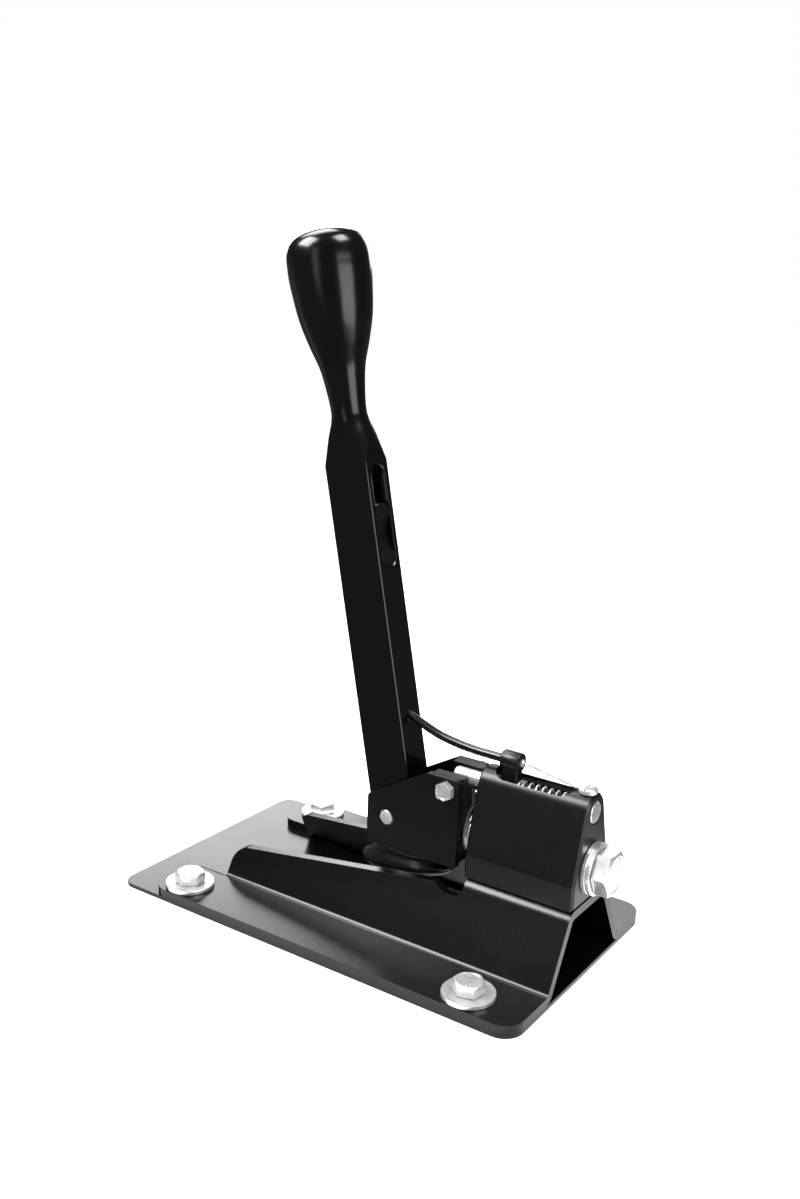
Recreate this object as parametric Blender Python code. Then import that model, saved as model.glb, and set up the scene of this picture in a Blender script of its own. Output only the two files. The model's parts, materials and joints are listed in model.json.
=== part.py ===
"""Short shifter: a floor lever in a carrier that rocks on a gate block above a bent bracket.

X runs along the object towards the block's free end, Y across it, Z up.
The origin is on the base plate's underside, in the middle of the whole length.
"""

import math

import bmesh
import bpy
from mathutils import Matrix, Vector

MM = 0.001

# Clearances
SEAT = 0.1 * MM          # between parts that rest flat on each other
FIT = 0.2 * MM           # round a part held in its hole
RUN = 0.3 * MM           # round a part that turns or slides

# Base plate
BASE_LENGTH = 226 * MM
BASE_WIDTH = 132 * MM
BASE_THICKNESS = 2 * MM
PLATE_CORNER = 10 * MM
REAR_CORNER = 4 * MM
WINDOW_LENGTH = 80 * MM
WINDOW_WIDTH = 60 * MM
WINDOW_REAR = 85 * MM    # from the base plate's rear end
WINDOW_CORNER = 6 * MM

# Bent bracket
HAT_LENGTH = 206 * MM
HAT_THICKNESS = 4 * MM
HAT_HEIGHT = 32.1 * MM   # outer height over the flanges
FLANGE_WIDTH = 32.1 * MM
HAT_TOP_HALF = 16.4 * MM
HAT_BEND = 3 * MM        # inner radius of the bends
WALL_LENGTH = 183 * MM
WALL_REAR_HEIGHT = 13.2 * MM
WALL_FRONT_HEIGHT = 27 * MM
WALL_CORNER = 8 * MM
TOP_FLAT_LENGTH = 53.4 * MM
NOTCH_LENGTH = 15 * MM
NOTCH_DEPTH = 3.2 * MM
TAB_CORNER = 9 * MM

# Flange bolts
BOLT_FRONT = 28.3 * MM   # from the front end
BOLT_SPACING = 162 * MM
BOLT_RADIUS = 4 * MM
BOLT_FLATS = 13 * MM
BOLT_HEAD = 5.3 * MM
WASHER_RADIUS = 12 * MM
WASHER_THICKNESS = 2 * MM

# Gate block
BLOCK_LENGTH = 55.4 * MM
BLOCK_HALF = 17 * MM
BLOCK_FOOT = 11.8 * MM   # height of the upright foot
BLOCK_TOP_HALF = 6.9 * MM
BLOCK_ABOVE_LOCK = 8.5 * MM
BLOCK_KINK = 6 * MM
BLOCK_ROUND = 7.8 * MM
BLOCK_EDGE = 1.2 * MM    # chamfer at both ends
AXIS_ABOVE_HAT = 15.4 * MM
BLOCK_SCREW_RADIUS = 2.5 * MM
BLOCK_SCREW_HEAD = 4.25 * MM
BLOCK_SCREW_SIDE = 8 * MM
BLOCK_SCREW_INSET = 8.4 * MM
BLOCK_SCREW_DEPTH = 7 * MM

# Main bolt, its bushes and washers
MAIN_RADIUS = 6 * MM
MAIN_FLATS = 19 * MM
MAIN_HEAD = 7.5 * MM
MAIN_WASHER = 2 * MM
BUSH_RADIUS = 8 * MM
BUSH_LENGTH = 16 * MM
JAM_NUT = 6 * MM
BOLT_PROUD = 0.4 * MM
HUB_RADIUS = 8 * MM
HUB_LENGTH = 3.7 * MM

# Centring spring
CENTRE_WIRE = 0.8 * MM
CENTRE_RADIUS = 9.8 * MM
CENTRE_LEG = 21.5 * MM
CENTRE_PIN = 1.5 * MM
CARRIER_PIN_HEIGHT = 19.2 * MM
BLOCK_PIN_HEIGHT = 15 * MM
PIN_DEPTH = 4 * MM

# Carrier
YOKE_THICKNESS = 16 * MM
PLATE_GAP = 22 * MM
PLATE_THICKNESS = 3.5 * MM
PLATE_BELOW_AXIS = 14.5 * MM
PLATE_ABOVE_AXIS = 28.5 * MM
PLATE_BEHIND_PIVOT = 10.6 * MM
PLATE_REAR_HEIGHT = 24 * MM
PLATE_TOP_LENGTH = 17 * MM
YOKE_BELOW_AXIS = 12.5 * MM
GATE_LIMIT = math.radians(5.5)
PLATE_SCREW_RADIUS = 2.5 * MM
PLATE_SCREW_FLATS = 8 * MM
PLATE_SCREW_HEAD = 3.5 * MM
PLATE_SCREW_DEPTH = 4 * MM
PLATE_SCREW_BACK = 6.4 * MM
PLATE_SCREW_DROP = 5.4 * MM
DOWEL_RADIUS = 1.5 * MM
DOWEL_OFFSET = 4.1 * MM
DOWEL_PROUD = 0.8 * MM

# Lock pin, its post and its spring
LOCK_ABOVE_AXIS = 26 * MM
LOCK_RADIUS = 3.5 * MM
LOCK_REACH = 10.2 * MM   # into the carrier
LOCK_BUSH_RADIUS = 4.5 * MM
LOCK_BUSH_LENGTH = 6.4 * MM
LOCK_BUSH_RIM = 5.2 * MM
LOCK_BUSH_RIM_THICKNESS = 1.2 * MM
LOCK_TRAVEL = 11 * MM
SPRING_BORE = 5.6 * MM
COLLAR_LENGTH = 10.4 * MM
POST_LENGTH = 7.6 * MM
POST_WIDTH = 6.8 * MM
POST_SPIGOT = 2 * MM
BARREL_RADIUS = 4.5 * MM
BARREL_LENGTH = 9.6 * MM
BARREL_ABOVE_LOCK = 13.4 * MM
SLOT_LENGTH = 40.4 * MM
SLOT_HALF = 6.8 * MM
SLOT_FLOOR = 4.2 * MM    # above the lock pin's axis
SLOT_BEHIND_POST = 7.4 * MM
SPRING_WIRE = 0.55 * MM
SPRING_TURNS = 10
PLUG_LENGTH = 8 * MM
PLUG_RECESS = 4.4 * MM
ANCHOR_RADIUS = 4.3 * MM
ANCHOR_HEAD = 2.8 * MM
ANCHOR_SHANK = 1.8 * MM
ANCHOR_DEPTH = 2.2 * MM
ANCHOR_INSET = 4.6 * MM

# Lever
LEAN = math.radians(11.5)
LEVER_DEPTH = 24 * MM    # along X
LEVER_WIDTH = 17 * MM    # along Y
LEVER_EDGE = 0.25 * MM   # taken off the bar's corners
LEVER_ROOM = 5.1 * MM    # between the bar and the main bolt's end
BAR_BELOW_PIVOT = 9 * MM
BAR_HEIGHT = 168 * MM    # from the pivot up to the flare
NECK_RADIUS = 8.3 * MM
NECK_HEIGHT = 25 * MM    # from the flare's foot up to the narrowest place
KNOB_RADIUS = 19 * MM
KNOB_HEIGHT = 58 * MM    # from the narrowest place up to the widest
KNOB_DOME = 23.5 * MM
SHANK_RADIUS = 7.8 * MM
EYE_BELOW_PIVOT = 42.5 * MM
EYE_RADIUS = 8.5 * MM
EYE_WIDTH = 14 * MM
EYE_BUSH = 5.6 * MM
EYE_BORE = 4.1 * MM
PIVOT_RADIUS = 4 * MM
PIVOT_BUSH = 6 * MM
PIVOT_BUSH_RIM = 8 * MM
PIVOT_BUSH_LENGTH = 7 * MM

# Trigger in the lever's front face
POCKET_LENGTH = 48 * MM
POCKET_WIDTH = 11 * MM
POCKET_DEPTH = 9 * MM
POCKET_BELOW_FLARE = 50 * MM
TRIGGER_LENGTH = 30 * MM
TRIGGER_SINK = 0.4 * MM
ROD_RADIUS = 1.6 * MM
ROD_DEPTH = 6 * MM
ROD_END = 3.5 * MM
SCALLOP_RADIUS = 15 * MM
SCALLOP_DEPTH = 3 * MM

# Cable
CABLE_RADIUS = 2 * MM
WIRE_RADIUS = 0.6 * MM
CABLE_EXIT_HEIGHT = 47.2 * MM
CABLE_SINK = 4 * MM

# Bellows on the lever's foot
BELLOWS_WALL = 1.2 * MM
BELLOWS_AHEAD = 7.8 * MM  # of the pivot

# Reference places worked out from the sizes above
HEAD_OUT = SEAT + 2 * (MAIN_WASHER + SEAT) + MAIN_HEAD
FRONT = (BASE_LENGTH - HEAD_OUT) / 2
REAR = FRONT - BASE_LENGTH
HAT_REAR = FRONT - HAT_LENGTH
WALL_REAR = FRONT - WALL_LENGTH
TOP_REAR = FRONT - TOP_FLAT_LENGTH
HAT_FOOT_HALF = BASE_WIDTH / 2 - FLANGE_WIDTH
BOLT_SIDE = BASE_WIDTH / 2 - WASHER_RADIUS
FLANGE_Z = BASE_THICKNESS + SEAT
FLANGE_TOP = FLANGE_Z + HAT_THICKNESS
HAT_TOP = FLANGE_TOP + HAT_HEIGHT
BLOCK_REAR = FRONT - BLOCK_LENGTH
BLOCK_BOTTOM = HAT_TOP + SEAT
AXIS_Z = HAT_TOP + AXIS_ABOVE_HAT
LOCK_Z = AXIS_Z + LOCK_ABOVE_AXIS
BLOCK_TOP = LOCK_Z + BLOCK_ABOVE_LOCK
HUB_WASHER_X = BLOCK_REAR - SEAT - MAIN_WASHER
HUB_X = HUB_WASHER_X - SEAT - HUB_LENGTH
YOKE_FRONT = HUB_X - SEAT
YOKE_REAR = YOKE_FRONT - YOKE_THICKNESS
PIVOT_X = YOKE_REAR - SEAT - JAM_NUT - BOLT_PROUD - LEVER_ROOM - LEVER_DEPTH / 2
PIVOT = Vector((PIVOT_X, 0, AXIS_Z))
PLATE_OUTER = PLATE_GAP / 2 + PLATE_THICKNESS
LOCK_TIP = YOKE_FRONT - LOCK_REACH
COLLAR_REAR = BLOCK_REAR + LOCK_BUSH_LENGTH + RUN
COLLAR_FRONT = COLLAR_REAR + COLLAR_LENGTH
COLLAR_RADIUS = SPRING_BORE - RUN
POST_X = COLLAR_REAR + COLLAR_LENGTH * 0.6
PLUG_X = FRONT - PLUG_LENGTH
SLOT_REAR = POST_X - SLOT_BEHIND_POST
SPRING_RADIUS = SPRING_BORE - RUN - FIT - SPRING_WIRE
BARREL_Z = LOCK_Z + BARREL_ABOVE_LOCK
ANCHOR_X = FRONT - ANCHOR_INSET
NECK_S = BAR_HEIGHT + NECK_HEIGHT
BLANK_RADIUS = math.hypot(LEVER_DEPTH / 2, LEVER_WIDTH / 2) - LEVER_EDGE
POCKET_S = BAR_HEIGHT - POCKET_BELOW_FLARE
ROUND = 24


def clear_scene():
    for old in list(bpy.data.objects):
        bpy.data.objects.remove(old, do_unlink=True)


def material(name, colour, roughness, metallic):
    mat = bpy.data.materials.new(name)
    mat.use_nodes = True
    shader = mat.node_tree.nodes["Principled BSDF"]
    shader.inputs["Base Color"].default_value = (*colour, 1)
    shader.inputs["Roughness"].default_value = roughness
    shader.inputs["Metallic"].default_value = metallic
    return mat


FINISHES = {
    "coated": ((0.012, 0.012, 0.014), 0.42, 0.0),
    "anodised": ((0.014, 0.014, 0.017), 0.38, 0.6),
    "gloss": ((0.008, 0.008, 0.010), 0.16, 0.4),
    "zinc": ((0.80, 0.80, 0.80), 0.24, 1.0),
    "steel": ((0.62, 0.62, 0.63), 0.22, 1.0),
    "bronze": ((0.55, 0.38, 0.20), 0.40, 1.0),
    "rubber": ((0.010, 0.010, 0.011), 0.35, 0.0),
    "plastic": ((0.010, 0.010, 0.012), 0.25, 0.0),
}


def axis_empty(name, place, lean=0.0):
    empty = bpy.data.objects.new(name, None)
    empty.location = place
    empty.rotation_euler = (0, -lean, 0)
    bpy.context.collection.objects.link(empty)
    return empty


TURN = {
    "X": Matrix.Rotation(math.pi / 2, 4, "Y"),
    "Y": Matrix.Rotation(-math.pi / 2, 4, "X"),
    "Z": Matrix.Identity(4),
}


def add_object(name, bm, finish, place=(0, 0, 0), axis="Z", parent=None):
    """Links the mesh as an object whose local Z points along the given axis."""
    bmesh.ops.recalc_face_normals(bm, faces=bm.faces)
    mesh = bpy.data.meshes.new(name)
    bm.to_mesh(mesh)
    bm.free()
    mesh.shade_smooth()
    mesh.set_sharp_from_angle(angle=math.radians(32))
    obj = bpy.data.objects.new(name, mesh)
    obj.matrix_local = Matrix.Translation(Vector(place)) @ TURN[axis]
    bpy.context.collection.objects.link(obj)
    if finish:
        mesh.materials.append(material(name, *FINISHES[finish]))
    if parent:
        obj.parent = parent
    return obj


def circle(radius, height, count=ROUND):
    return [
        Vector((radius * math.cos(a), radius * math.sin(a), height))
        for a in (2 * math.pi * i / count for i in range(count))
    ]


def hexagon(flats, height_at, count=ROUND):
    """A six-sided ring; height_at gives the height for the distance from the axis."""
    ring = []
    for i in range(count):
        angle = 2 * math.pi * i / count
        radius = flats / 2 / math.cos((angle + math.pi / 6) % (math.pi / 3) - math.pi / 6)
        ring.append(Vector((radius * math.cos(angle), radius * math.sin(angle), height_at(radius))))
    return ring


def loft(rings, closed=False):
    """A skin over rings of points; closed joins the last ring to the first."""
    bm = bmesh.new()
    rows = [[bm.verts.new(p) for p in ring] for ring in rings]
    pairs = list(zip(rows, rows[1:]))
    if closed:
        pairs.append((rows[-1], rows[0]))
    for low, high in pairs:
        count = max(len(low), len(high))
        for i in range(count):
            j = (i + 1) % count
            corners = []
            for vert in (low[i % len(low)], low[j % len(low)], high[j % len(high)], high[i % len(high)]):
                if vert not in corners:
                    corners.append(vert)
            bm.faces.new(corners)
    if not closed:
        for row in (rows[0], rows[-1]):
            if len(row) > 2:
                bm.faces.new(row)
    return bm


def turned(points, count=ROUND, closed=False):
    """A turned body from (radius, height) points; a radius of 0 is a point on the axis."""
    rings = [circle(r, z, count) if r > 0 else [Vector((0, 0, z))] for r, z in points]
    return loft(rings, closed)


def tube(inner, outer, low, high, count=ROUND):
    return turned([(inner, low), (outer, low), (outer, high), (inner, high)], count, closed=True)


def rounded(corners, steps=5):
    """The outline through (u, v, radius) corners, with an arc at each rounded one."""
    outline = []
    for i, (u, v, radius) in enumerate(corners):
        here = Vector((u, v))
        if radius <= 0:
            outline.append(here)
            continue
        back = (Vector(corners[i - 1][:2]) - here).normalized()
        ahead = (Vector(corners[(i + 1) % len(corners)][:2]) - here).normalized()
        half = back.angle(ahead) / 2
        centre = here + (back + ahead).normalized() * radius / math.sin(half)
        start = here + back * radius / math.tan(half) - centre
        end = here + ahead * radius / math.tan(half) - centre
        sweep = start.angle_signed(end)
        for k in range(steps + 1):
            outline.append(centre + Matrix.Rotation(-sweep * k / steps, 2) @ start)
    return outline


def rectangle(u0, v0, u1, v1, radius=0.0):
    return rounded([(u0, v0, radius), (u1, v0, radius), (u1, v1, radius), (u0, v1, radius)])


def inset(outline, depth):
    """A convex outline moved inwards by the depth; it runs anticlockwise."""
    moved = []
    for i, here in enumerate(outline):
        before = (here - outline[i - 1]).normalized()
        after = (outline[(i + 1) % len(outline)] - here).normalized()
        normals = [Vector((-run.y, run.x)) for run in (before, after)]
        moved.append(here + (normals[0] + normals[1]) / (1 + normals[0].dot(normals[1])) * depth)
    return moved


SPREAD = {
    "X": lambda u, v, w: Vector((w, u, v)),
    "Y": lambda u, v, w: Vector((u, w, v)),
    "Z": lambda u, v, w: Vector((u, v, w)),
}


def prism(outline, along, low, high):
    """An outline in (y, z), (x, z) or (x, y), drawn out along the third direction."""
    spread = SPREAD[along]
    return loft([[spread(u, v, w) for u, v in outline] for w in (low, high)])


def bar_along(path, radius, sides):
    """A round bar along a list of points."""
    rings = []
    side = None
    for i, here in enumerate(path):
        ahead = path[min(i + 1, len(path) - 1)] - path[max(i - 1, 0)]
        ahead.normalize()
        if side is None:
            side = ahead.orthogonal().normalized()
        side = (side - ahead * side.dot(ahead)).normalized()
        up = ahead.cross(side)
        rings.append([
            here + radius * (math.cos(a) * side + math.sin(a) * up)
            for a in (2 * math.pi * k / sides for k in range(sides))
        ])
    return loft(rings)


def smooth(points, steps):
    """Points along a smooth curve that passes through the given ones."""
    ends = [2 * points[0] - points[1], *points, 2 * points[-1] - points[-2]]
    out = []
    for a, b, c, d in zip(ends, ends[1:], ends[2:], ends[3:]):
        for k in range(steps):
            t = k / steps
            out.append(0.5 * (2 * b + (c - a) * t + (2 * a - 5 * b + 4 * c - d) * t * t
                              + (3 * b - a - 3 * c + d) * t ** 3))
    return out + [points[-1]]


def boolean(obj, name, bm, operation="DIFFERENCE", place=(0, 0, 0), axis="Z"):
    """Cuts obj with the mesh, or joins the mesh to it, in obj's parent's frame."""
    cutter = add_object(f"{obj.name}_{name}", bm, None, place, axis, obj.parent)
    cutter.hide_render = True
    cutter.display_type = "WIRE"
    step = obj.modifiers.new(name, "BOOLEAN")
    step.operation = operation
    step.solver = "EXACT"
    step.object = cutter
    return cutter


def drill(obj, name, radius, start, axis, depth, count=ROUND):
    boolean(obj, name, turned([(0, 0), (radius, 0), (radius, depth), (0, depth)], count), place=start, axis=axis)


def bolt_places():
    for x in (FRONT - BOLT_FRONT - BOLT_SPACING, FRONT - BOLT_FRONT):
        for y in (-BOLT_SIDE, BOLT_SIDE):
            yield x, y


def block_screw_places():
    for x in (BLOCK_REAR + BLOCK_SCREW_INSET, FRONT - BLOCK_SCREW_INSET):
        for y in (-BLOCK_SCREW_SIDE, BLOCK_SCREW_SIDE):
            yield x, y


def base_plate():
    half = BASE_WIDTH / 2
    outline = rounded([(REAR, -half, REAR_CORNER), (FRONT, -half, PLATE_CORNER), (FRONT, half, PLATE_CORNER),
                       (REAR, half, REAR_CORNER)])
    plate = add_object("base_plate", prism(outline, "Z", 0, BASE_THICKNESS), "coated")
    rear = REAR + WINDOW_REAR
    window = rectangle(rear, -WINDOW_WIDTH / 2, rear + WINDOW_LENGTH, WINDOW_WIDTH / 2, WINDOW_CORNER)
    boolean(plate, "window", prism(window, "Z", -BASE_THICKNESS, 2 * BASE_THICKNESS))
    for i, (x, y) in enumerate(bolt_places()):
        drill(plate, f"hole_{i + 1}", BOLT_RADIUS + FIT, (x, y, -BASE_THICKNESS), "Z", 3 * BASE_THICKNESS, 16)


def sheet_outline(path, thickness, bend):
    """The outline of a bent sheet whose middle line has the given corners."""
    normals = []
    for a, b in zip(path, path[1:]):
        run = (b - a).normalized()
        normals.append(Vector((-run.y, run.x)))
    sides = []
    for sign in (1, -1):
        side = []
        for i, corner in enumerate(path):
            before = normals[max(i - 1, 0)]
            after = normals[min(i, len(normals) - 1)]
            shift = (before + after) / (1 + before.dot(after)) * sign * thickness / 2
            turn = before.cross(after)
            radius = 0.0
            if abs(turn) > 1e-6:
                radius = bend if turn * sign > 0 else bend + thickness
            side.append((*(corner + shift), radius))
        sides.append(side)
    return rounded(sides[0] + sides[1][::-1], steps=4)


def wall_slope():
    """How far the walls lean outwards for each unit of height."""
    return (HAT_FOOT_HALF - HAT_TOP_HALF) / (HAT_HEIGHT - HAT_THICKNESS / 2 + HAT_THICKNESS / 2)


def hat_bracket():
    low = FLANGE_Z + HAT_THICKNESS / 2
    high = HAT_TOP - HAT_THICKNESS / 2
    edge = BASE_WIDTH / 2 + PLATE_CORNER
    path = [Vector(p) for p in (
        (-edge, low), (-HAT_FOOT_HALF, low), (-HAT_TOP_HALF, high),
        (HAT_TOP_HALF, high), (HAT_FOOT_HALF, low), (edge, low),
    )]
    section = sheet_outline(path, HAT_THICKNESS, HAT_BEND)
    over = PLATE_CORNER
    hat = add_object("hat_bracket", prism(section, "X", HAT_REAR - over, FRONT + over), "coated")
    plan = rectangle(HAT_REAR, -BASE_WIDTH / 2, FRONT, BASE_WIDTH / 2, PLATE_CORNER)
    boolean(hat, "outline", prism(plan, "Z", 0, HAT_TOP + over), "INTERSECT")
    inner = HAT_FOOT_HALF + HAT_THICKNESS / 2
    front_height = FLANGE_TOP + WALL_FRONT_HEIGHT
    notch_floor = front_height - NOTCH_DEPTH
    above = HAT_TOP + over
    removed = rounded([
        (HAT_REAR - 2 * over, above, 0),
        (HAT_REAR - 2 * over, -over, 0),
        (WALL_REAR, -over, 0),
        (WALL_REAR, FLANGE_TOP + WALL_REAR_HEIGHT, WALL_CORNER),
        (TOP_REAR - NOTCH_LENGTH, front_height, 3 * MM),
        (TOP_REAR - NOTCH_LENGTH * 0.6, notch_floor, 3 * MM),
        (TOP_REAR - NOTCH_LENGTH * 0.12, notch_floor, 3.4 * MM),
        (TOP_REAR, HAT_TOP - HAT_THICKNESS, 2 * MM),
        (TOP_REAR, above, 0),
    ])
    boolean(hat, "cutaway", prism(removed, "Y", -inner, inner))
    for sign in (-1, 1):
        corner = Vector((HAT_REAR + TAB_CORNER, sign * (inner + TAB_CORNER)))
        spandrel = [corner + TAB_CORNER * Vector((-math.cos(a), -sign * math.sin(a)))
                    for a in (math.pi / 2 * k / 6 for k in range(7))]
        spandrel += [Vector((corner.x, sign * (inner - MM))), Vector((HAT_REAR - MM, sign * (inner - MM))),
                     Vector((HAT_REAR - MM, corner.y))]
        boolean(hat, f"tab_{sign + 2}", prism(spandrel, "Z", 0, HAT_TOP))
    for i, (x, y) in enumerate(bolt_places()):
        drill(hat, f"hole_{i + 1}", BOLT_RADIUS + FIT, (x, y, 0), "Z", 2 * FLANGE_TOP, 16)
    for i, (x, y) in enumerate(block_screw_places()):
        drill(hat, f"screw_hole_{i + 1}", BLOCK_SCREW_RADIUS + FIT,
              (x, y, HAT_TOP - 2 * HAT_THICKNESS), "Z", 3 * HAT_THICKNESS, 12)


def hex_bolt(shank, flats, head, length, count=ROUND):
    """A hexagon bolt along Z: the head's seat at 0, the shank below it."""
    top = flats * 0.46
    chamfer = shank * 0.15
    return loft([
        circle(shank - chamfer, -length, count),
        circle(shank, -length + chamfer, count),
        circle(shank, 0, count),
        hexagon(flats, lambda r: 0.0, count),
        hexagon(flats, lambda r: head - (r - top) * math.tan(math.radians(28)), count),
        circle(top, head, count),
    ])


def flange_fasteners():
    head_z = FLANGE_TOP + SEAT + WASHER_THICKNESS + SEAT
    for i, (x, y) in enumerate(bolt_places()):
        washer = tube(BOLT_RADIUS + FIT, WASHER_RADIUS, 0, WASHER_THICKNESS, 32)
        add_object(f"flange_washer_{i + 1}", washer, "zinc", (x, y, FLANGE_TOP + SEAT))
        bolt = hex_bolt(BOLT_RADIUS, BOLT_FLATS, BOLT_HEAD, head_z - RUN)
        add_object(f"flange_bolt_{i + 1}", bolt, "zinc", (x, y, head_z))


def gate_block():
    outline = rounded([
        (-BLOCK_HALF, BLOCK_BOTTOM, 0),
        (BLOCK_HALF, BLOCK_BOTTOM, 0),
        (BLOCK_HALF, BLOCK_BOTTOM + BLOCK_FOOT, BLOCK_KINK),
        (BLOCK_TOP_HALF, BLOCK_TOP, BLOCK_ROUND),
        (-BLOCK_TOP_HALF, BLOCK_TOP, BLOCK_ROUND),
        (-BLOCK_HALF, BLOCK_BOTTOM + BLOCK_FOOT, BLOCK_KINK),
    ])
    small = inset(outline, BLOCK_EDGE)
    spread = SPREAD["X"]
    sections = ((small, BLOCK_REAR), (outline, BLOCK_REAR + BLOCK_EDGE), (outline, FRONT - BLOCK_EDGE), (small, FRONT))
    block = add_object("gate_block", loft([[spread(u, v, x) for u, v in shape] for shape, x in sections]), "anodised")
    over = 2 * MM
    drill(block, "main_bore", BUSH_RADIUS + FIT, (BLOCK_REAR - over, 0, AXIS_Z), "X", BLOCK_LENGTH + 2 * over, 32)
    guide = LOCK_BUSH_RADIUS + FIT
    shoulder = over + LOCK_BUSH_LENGTH - 2 * SEAT
    end = BLOCK_LENGTH + 2 * over
    lock_bore = turned([(0, 0), (guide, 0), (guide, shoulder), (SPRING_BORE, shoulder), (SPRING_BORE, end), (0, end)])
    boolean(block, "lock_bore", lock_bore, place=(BLOCK_REAR - over, 0, LOCK_Z), axis="X")
    slot = rectangle(SLOT_REAR, -SLOT_HALF, SLOT_REAR + SLOT_LENGTH, SLOT_HALF, SLOT_HALF * 0.98)
    boolean(block, "slot", prism(slot, "Z", LOCK_Z + SLOT_FLOOR, BLOCK_TOP + over))
    drill(block, "anchor_hole", ANCHOR_SHANK + FIT, (ANCHOR_X, 0, BLOCK_TOP - ANCHOR_DEPTH - SEAT), "Z",
          ANCHOR_DEPTH + over, 12)
    drill(block, "pin_hole", CENTRE_PIN + FIT, (BLOCK_REAR - over, 0, AXIS_Z + BLOCK_PIN_HEIGHT), "X",
          over + PIN_DEPTH + RUN, 12)
    for i, (x, y) in enumerate(block_screw_places()):
        drill(block, f"screw_hole_{i + 1}", BLOCK_SCREW_RADIUS + FIT, (x, y, BLOCK_BOTTOM - over), "Z",
              over + BLOCK_SCREW_DEPTH + RUN, 12)


def block_fasteners():
    seat = HAT_TOP - HAT_THICKNESS - SEAT
    reach = BLOCK_BOTTOM + BLOCK_SCREW_DEPTH
    for i, (x, y) in enumerate(block_screw_places()):
        head = BLOCK_SCREW_RADIUS * 2
        profile = [(0, seat - head), (BLOCK_SCREW_HEAD - 0.4 * MM, seat - head), (BLOCK_SCREW_HEAD, seat - head + 0.4 * MM),
                   (BLOCK_SCREW_HEAD, seat), (BLOCK_SCREW_RADIUS, seat), (BLOCK_SCREW_RADIUS, reach), (0, reach)]
        add_object(f"block_screw_{i + 1}", turned(profile, 12), "steel", (x, y, 0))


def main_bushes():
    for name, x in (("main_bush_rear", BLOCK_REAR), ("main_bush_front", FRONT - BUSH_LENGTH)):
        bush = tube(MAIN_RADIUS + RUN, BUSH_RADIUS, 0, BUSH_LENGTH, 32)
        add_object(name, bush, "bronze", (x, 0, AXIS_Z), "X")


def main_bolt_set(carrier):
    """The main bolt, its washers, the jam nut and the hub; all turn with the carrier."""
    step = MAIN_WASHER + SEAT
    head_x = FRONT + SEAT + 2 * step
    end_x = YOKE_REAR - SEAT - JAM_NUT - BOLT_PROUD
    bolt = hex_bolt(MAIN_RADIUS, MAIN_FLATS, MAIN_HEAD, head_x - end_x)
    add_object("main_bolt", bolt, "zinc", Vector((head_x, 0, AXIS_Z)) - carrier.location, "X", carrier)
    spots = {"main_washer_1": FRONT + SEAT, "main_washer_2": FRONT + SEAT + step, "hub_washer": HUB_WASHER_X}
    for name, x in spots.items():
        washer = tube(MAIN_RADIUS + FIT, WASHER_RADIUS, 0, MAIN_WASHER, 32)
        add_object(name, washer, "zinc", Vector((x, 0, AXIS_Z)) - carrier.location, "X", carrier)
    hub = tube(MAIN_RADIUS + FIT, HUB_RADIUS, 0, HUB_LENGTH)
    add_object("hub_spacer", hub, "steel", Vector((HUB_X, 0, AXIS_Z)) - carrier.location, "X", carrier)
    top = MAIN_FLATS * 0.46
    slope = math.tan(math.radians(28))
    bore = MAIN_RADIUS + FIT
    nut = loft([
        circle(bore, 0), circle(top, 0), hexagon(MAIN_FLATS, lambda r: (r - top) * slope),
        hexagon(MAIN_FLATS, lambda r: JAM_NUT - (r - top) * slope), circle(top, JAM_NUT), circle(bore, JAM_NUT),
    ], closed=True)
    add_object("jam_nut", nut, "zinc", Vector((YOKE_REAR - SEAT - JAM_NUT, 0, AXIS_Z)) - carrier.location, "X", carrier)


def centring_spring():
    """A wire spring round the hub whose two legs hold the carrier's pin and the block's pin between them."""
    leg = CENTRE_PIN + RUN + CENTRE_WIRE
    room = HUB_LENGTH - 2 * CENTRE_WIRE - 2 * SEAT
    first = HUB_X + SEAT + CENTRE_WIRE
    join = math.radians(150)
    turn = math.radians(600)
    knee = BLOCK_PIN_HEIGHT - CENTRE_PIN
    points = [Vector((first, -leg, CENTRE_LEG)), Vector((first, -leg, knee)), Vector((first, -6 * MM, knee - 3 * MM))]
    steps = 28
    for k in range(steps + 1):
        angle = join + turn * k / steps
        points.append(Vector((first + room * k / steps, CENTRE_RADIUS * math.cos(angle), CENTRE_RADIUS * math.sin(angle))))
    last = first + room
    points += [Vector((last, 6 * MM, knee - 3 * MM)), Vector((last, leg, knee)), Vector((last, leg, CENTRE_LEG))]
    add_object("centring_spring", bar_along(points, CENTRE_WIRE, 6), "steel", (0, 0, AXIS_Z))


def spring_pins(carrier):
    depth = YOKE_FRONT - PIN_DEPTH
    length = HUB_LENGTH + PIN_DEPTH
    pin = turned([(0, 0), (CENTRE_PIN, 0), (CENTRE_PIN, length), (0, length)], 12)
    place = Vector((depth, 0, AXIS_Z + CARRIER_PIN_HEIGHT)) - carrier.location
    add_object("carrier_spring_pin", pin, "steel", place, "X", carrier)
    start = YOKE_FRONT + RUN
    length = BLOCK_REAR + PIN_DEPTH - start
    pin = turned([(0, 0), (CENTRE_PIN, 0), (CENTRE_PIN, length), (0, length)], 12)
    add_object("block_spring_pin", pin, "steel", (start, 0, AXIS_Z + BLOCK_PIN_HEIGHT), "X")


def plate_screw_place():
    return YOKE_FRONT - PLATE_SCREW_BACK, AXIS_Z + PLATE_ABOVE_AXIS - PLATE_SCREW_DROP


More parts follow.
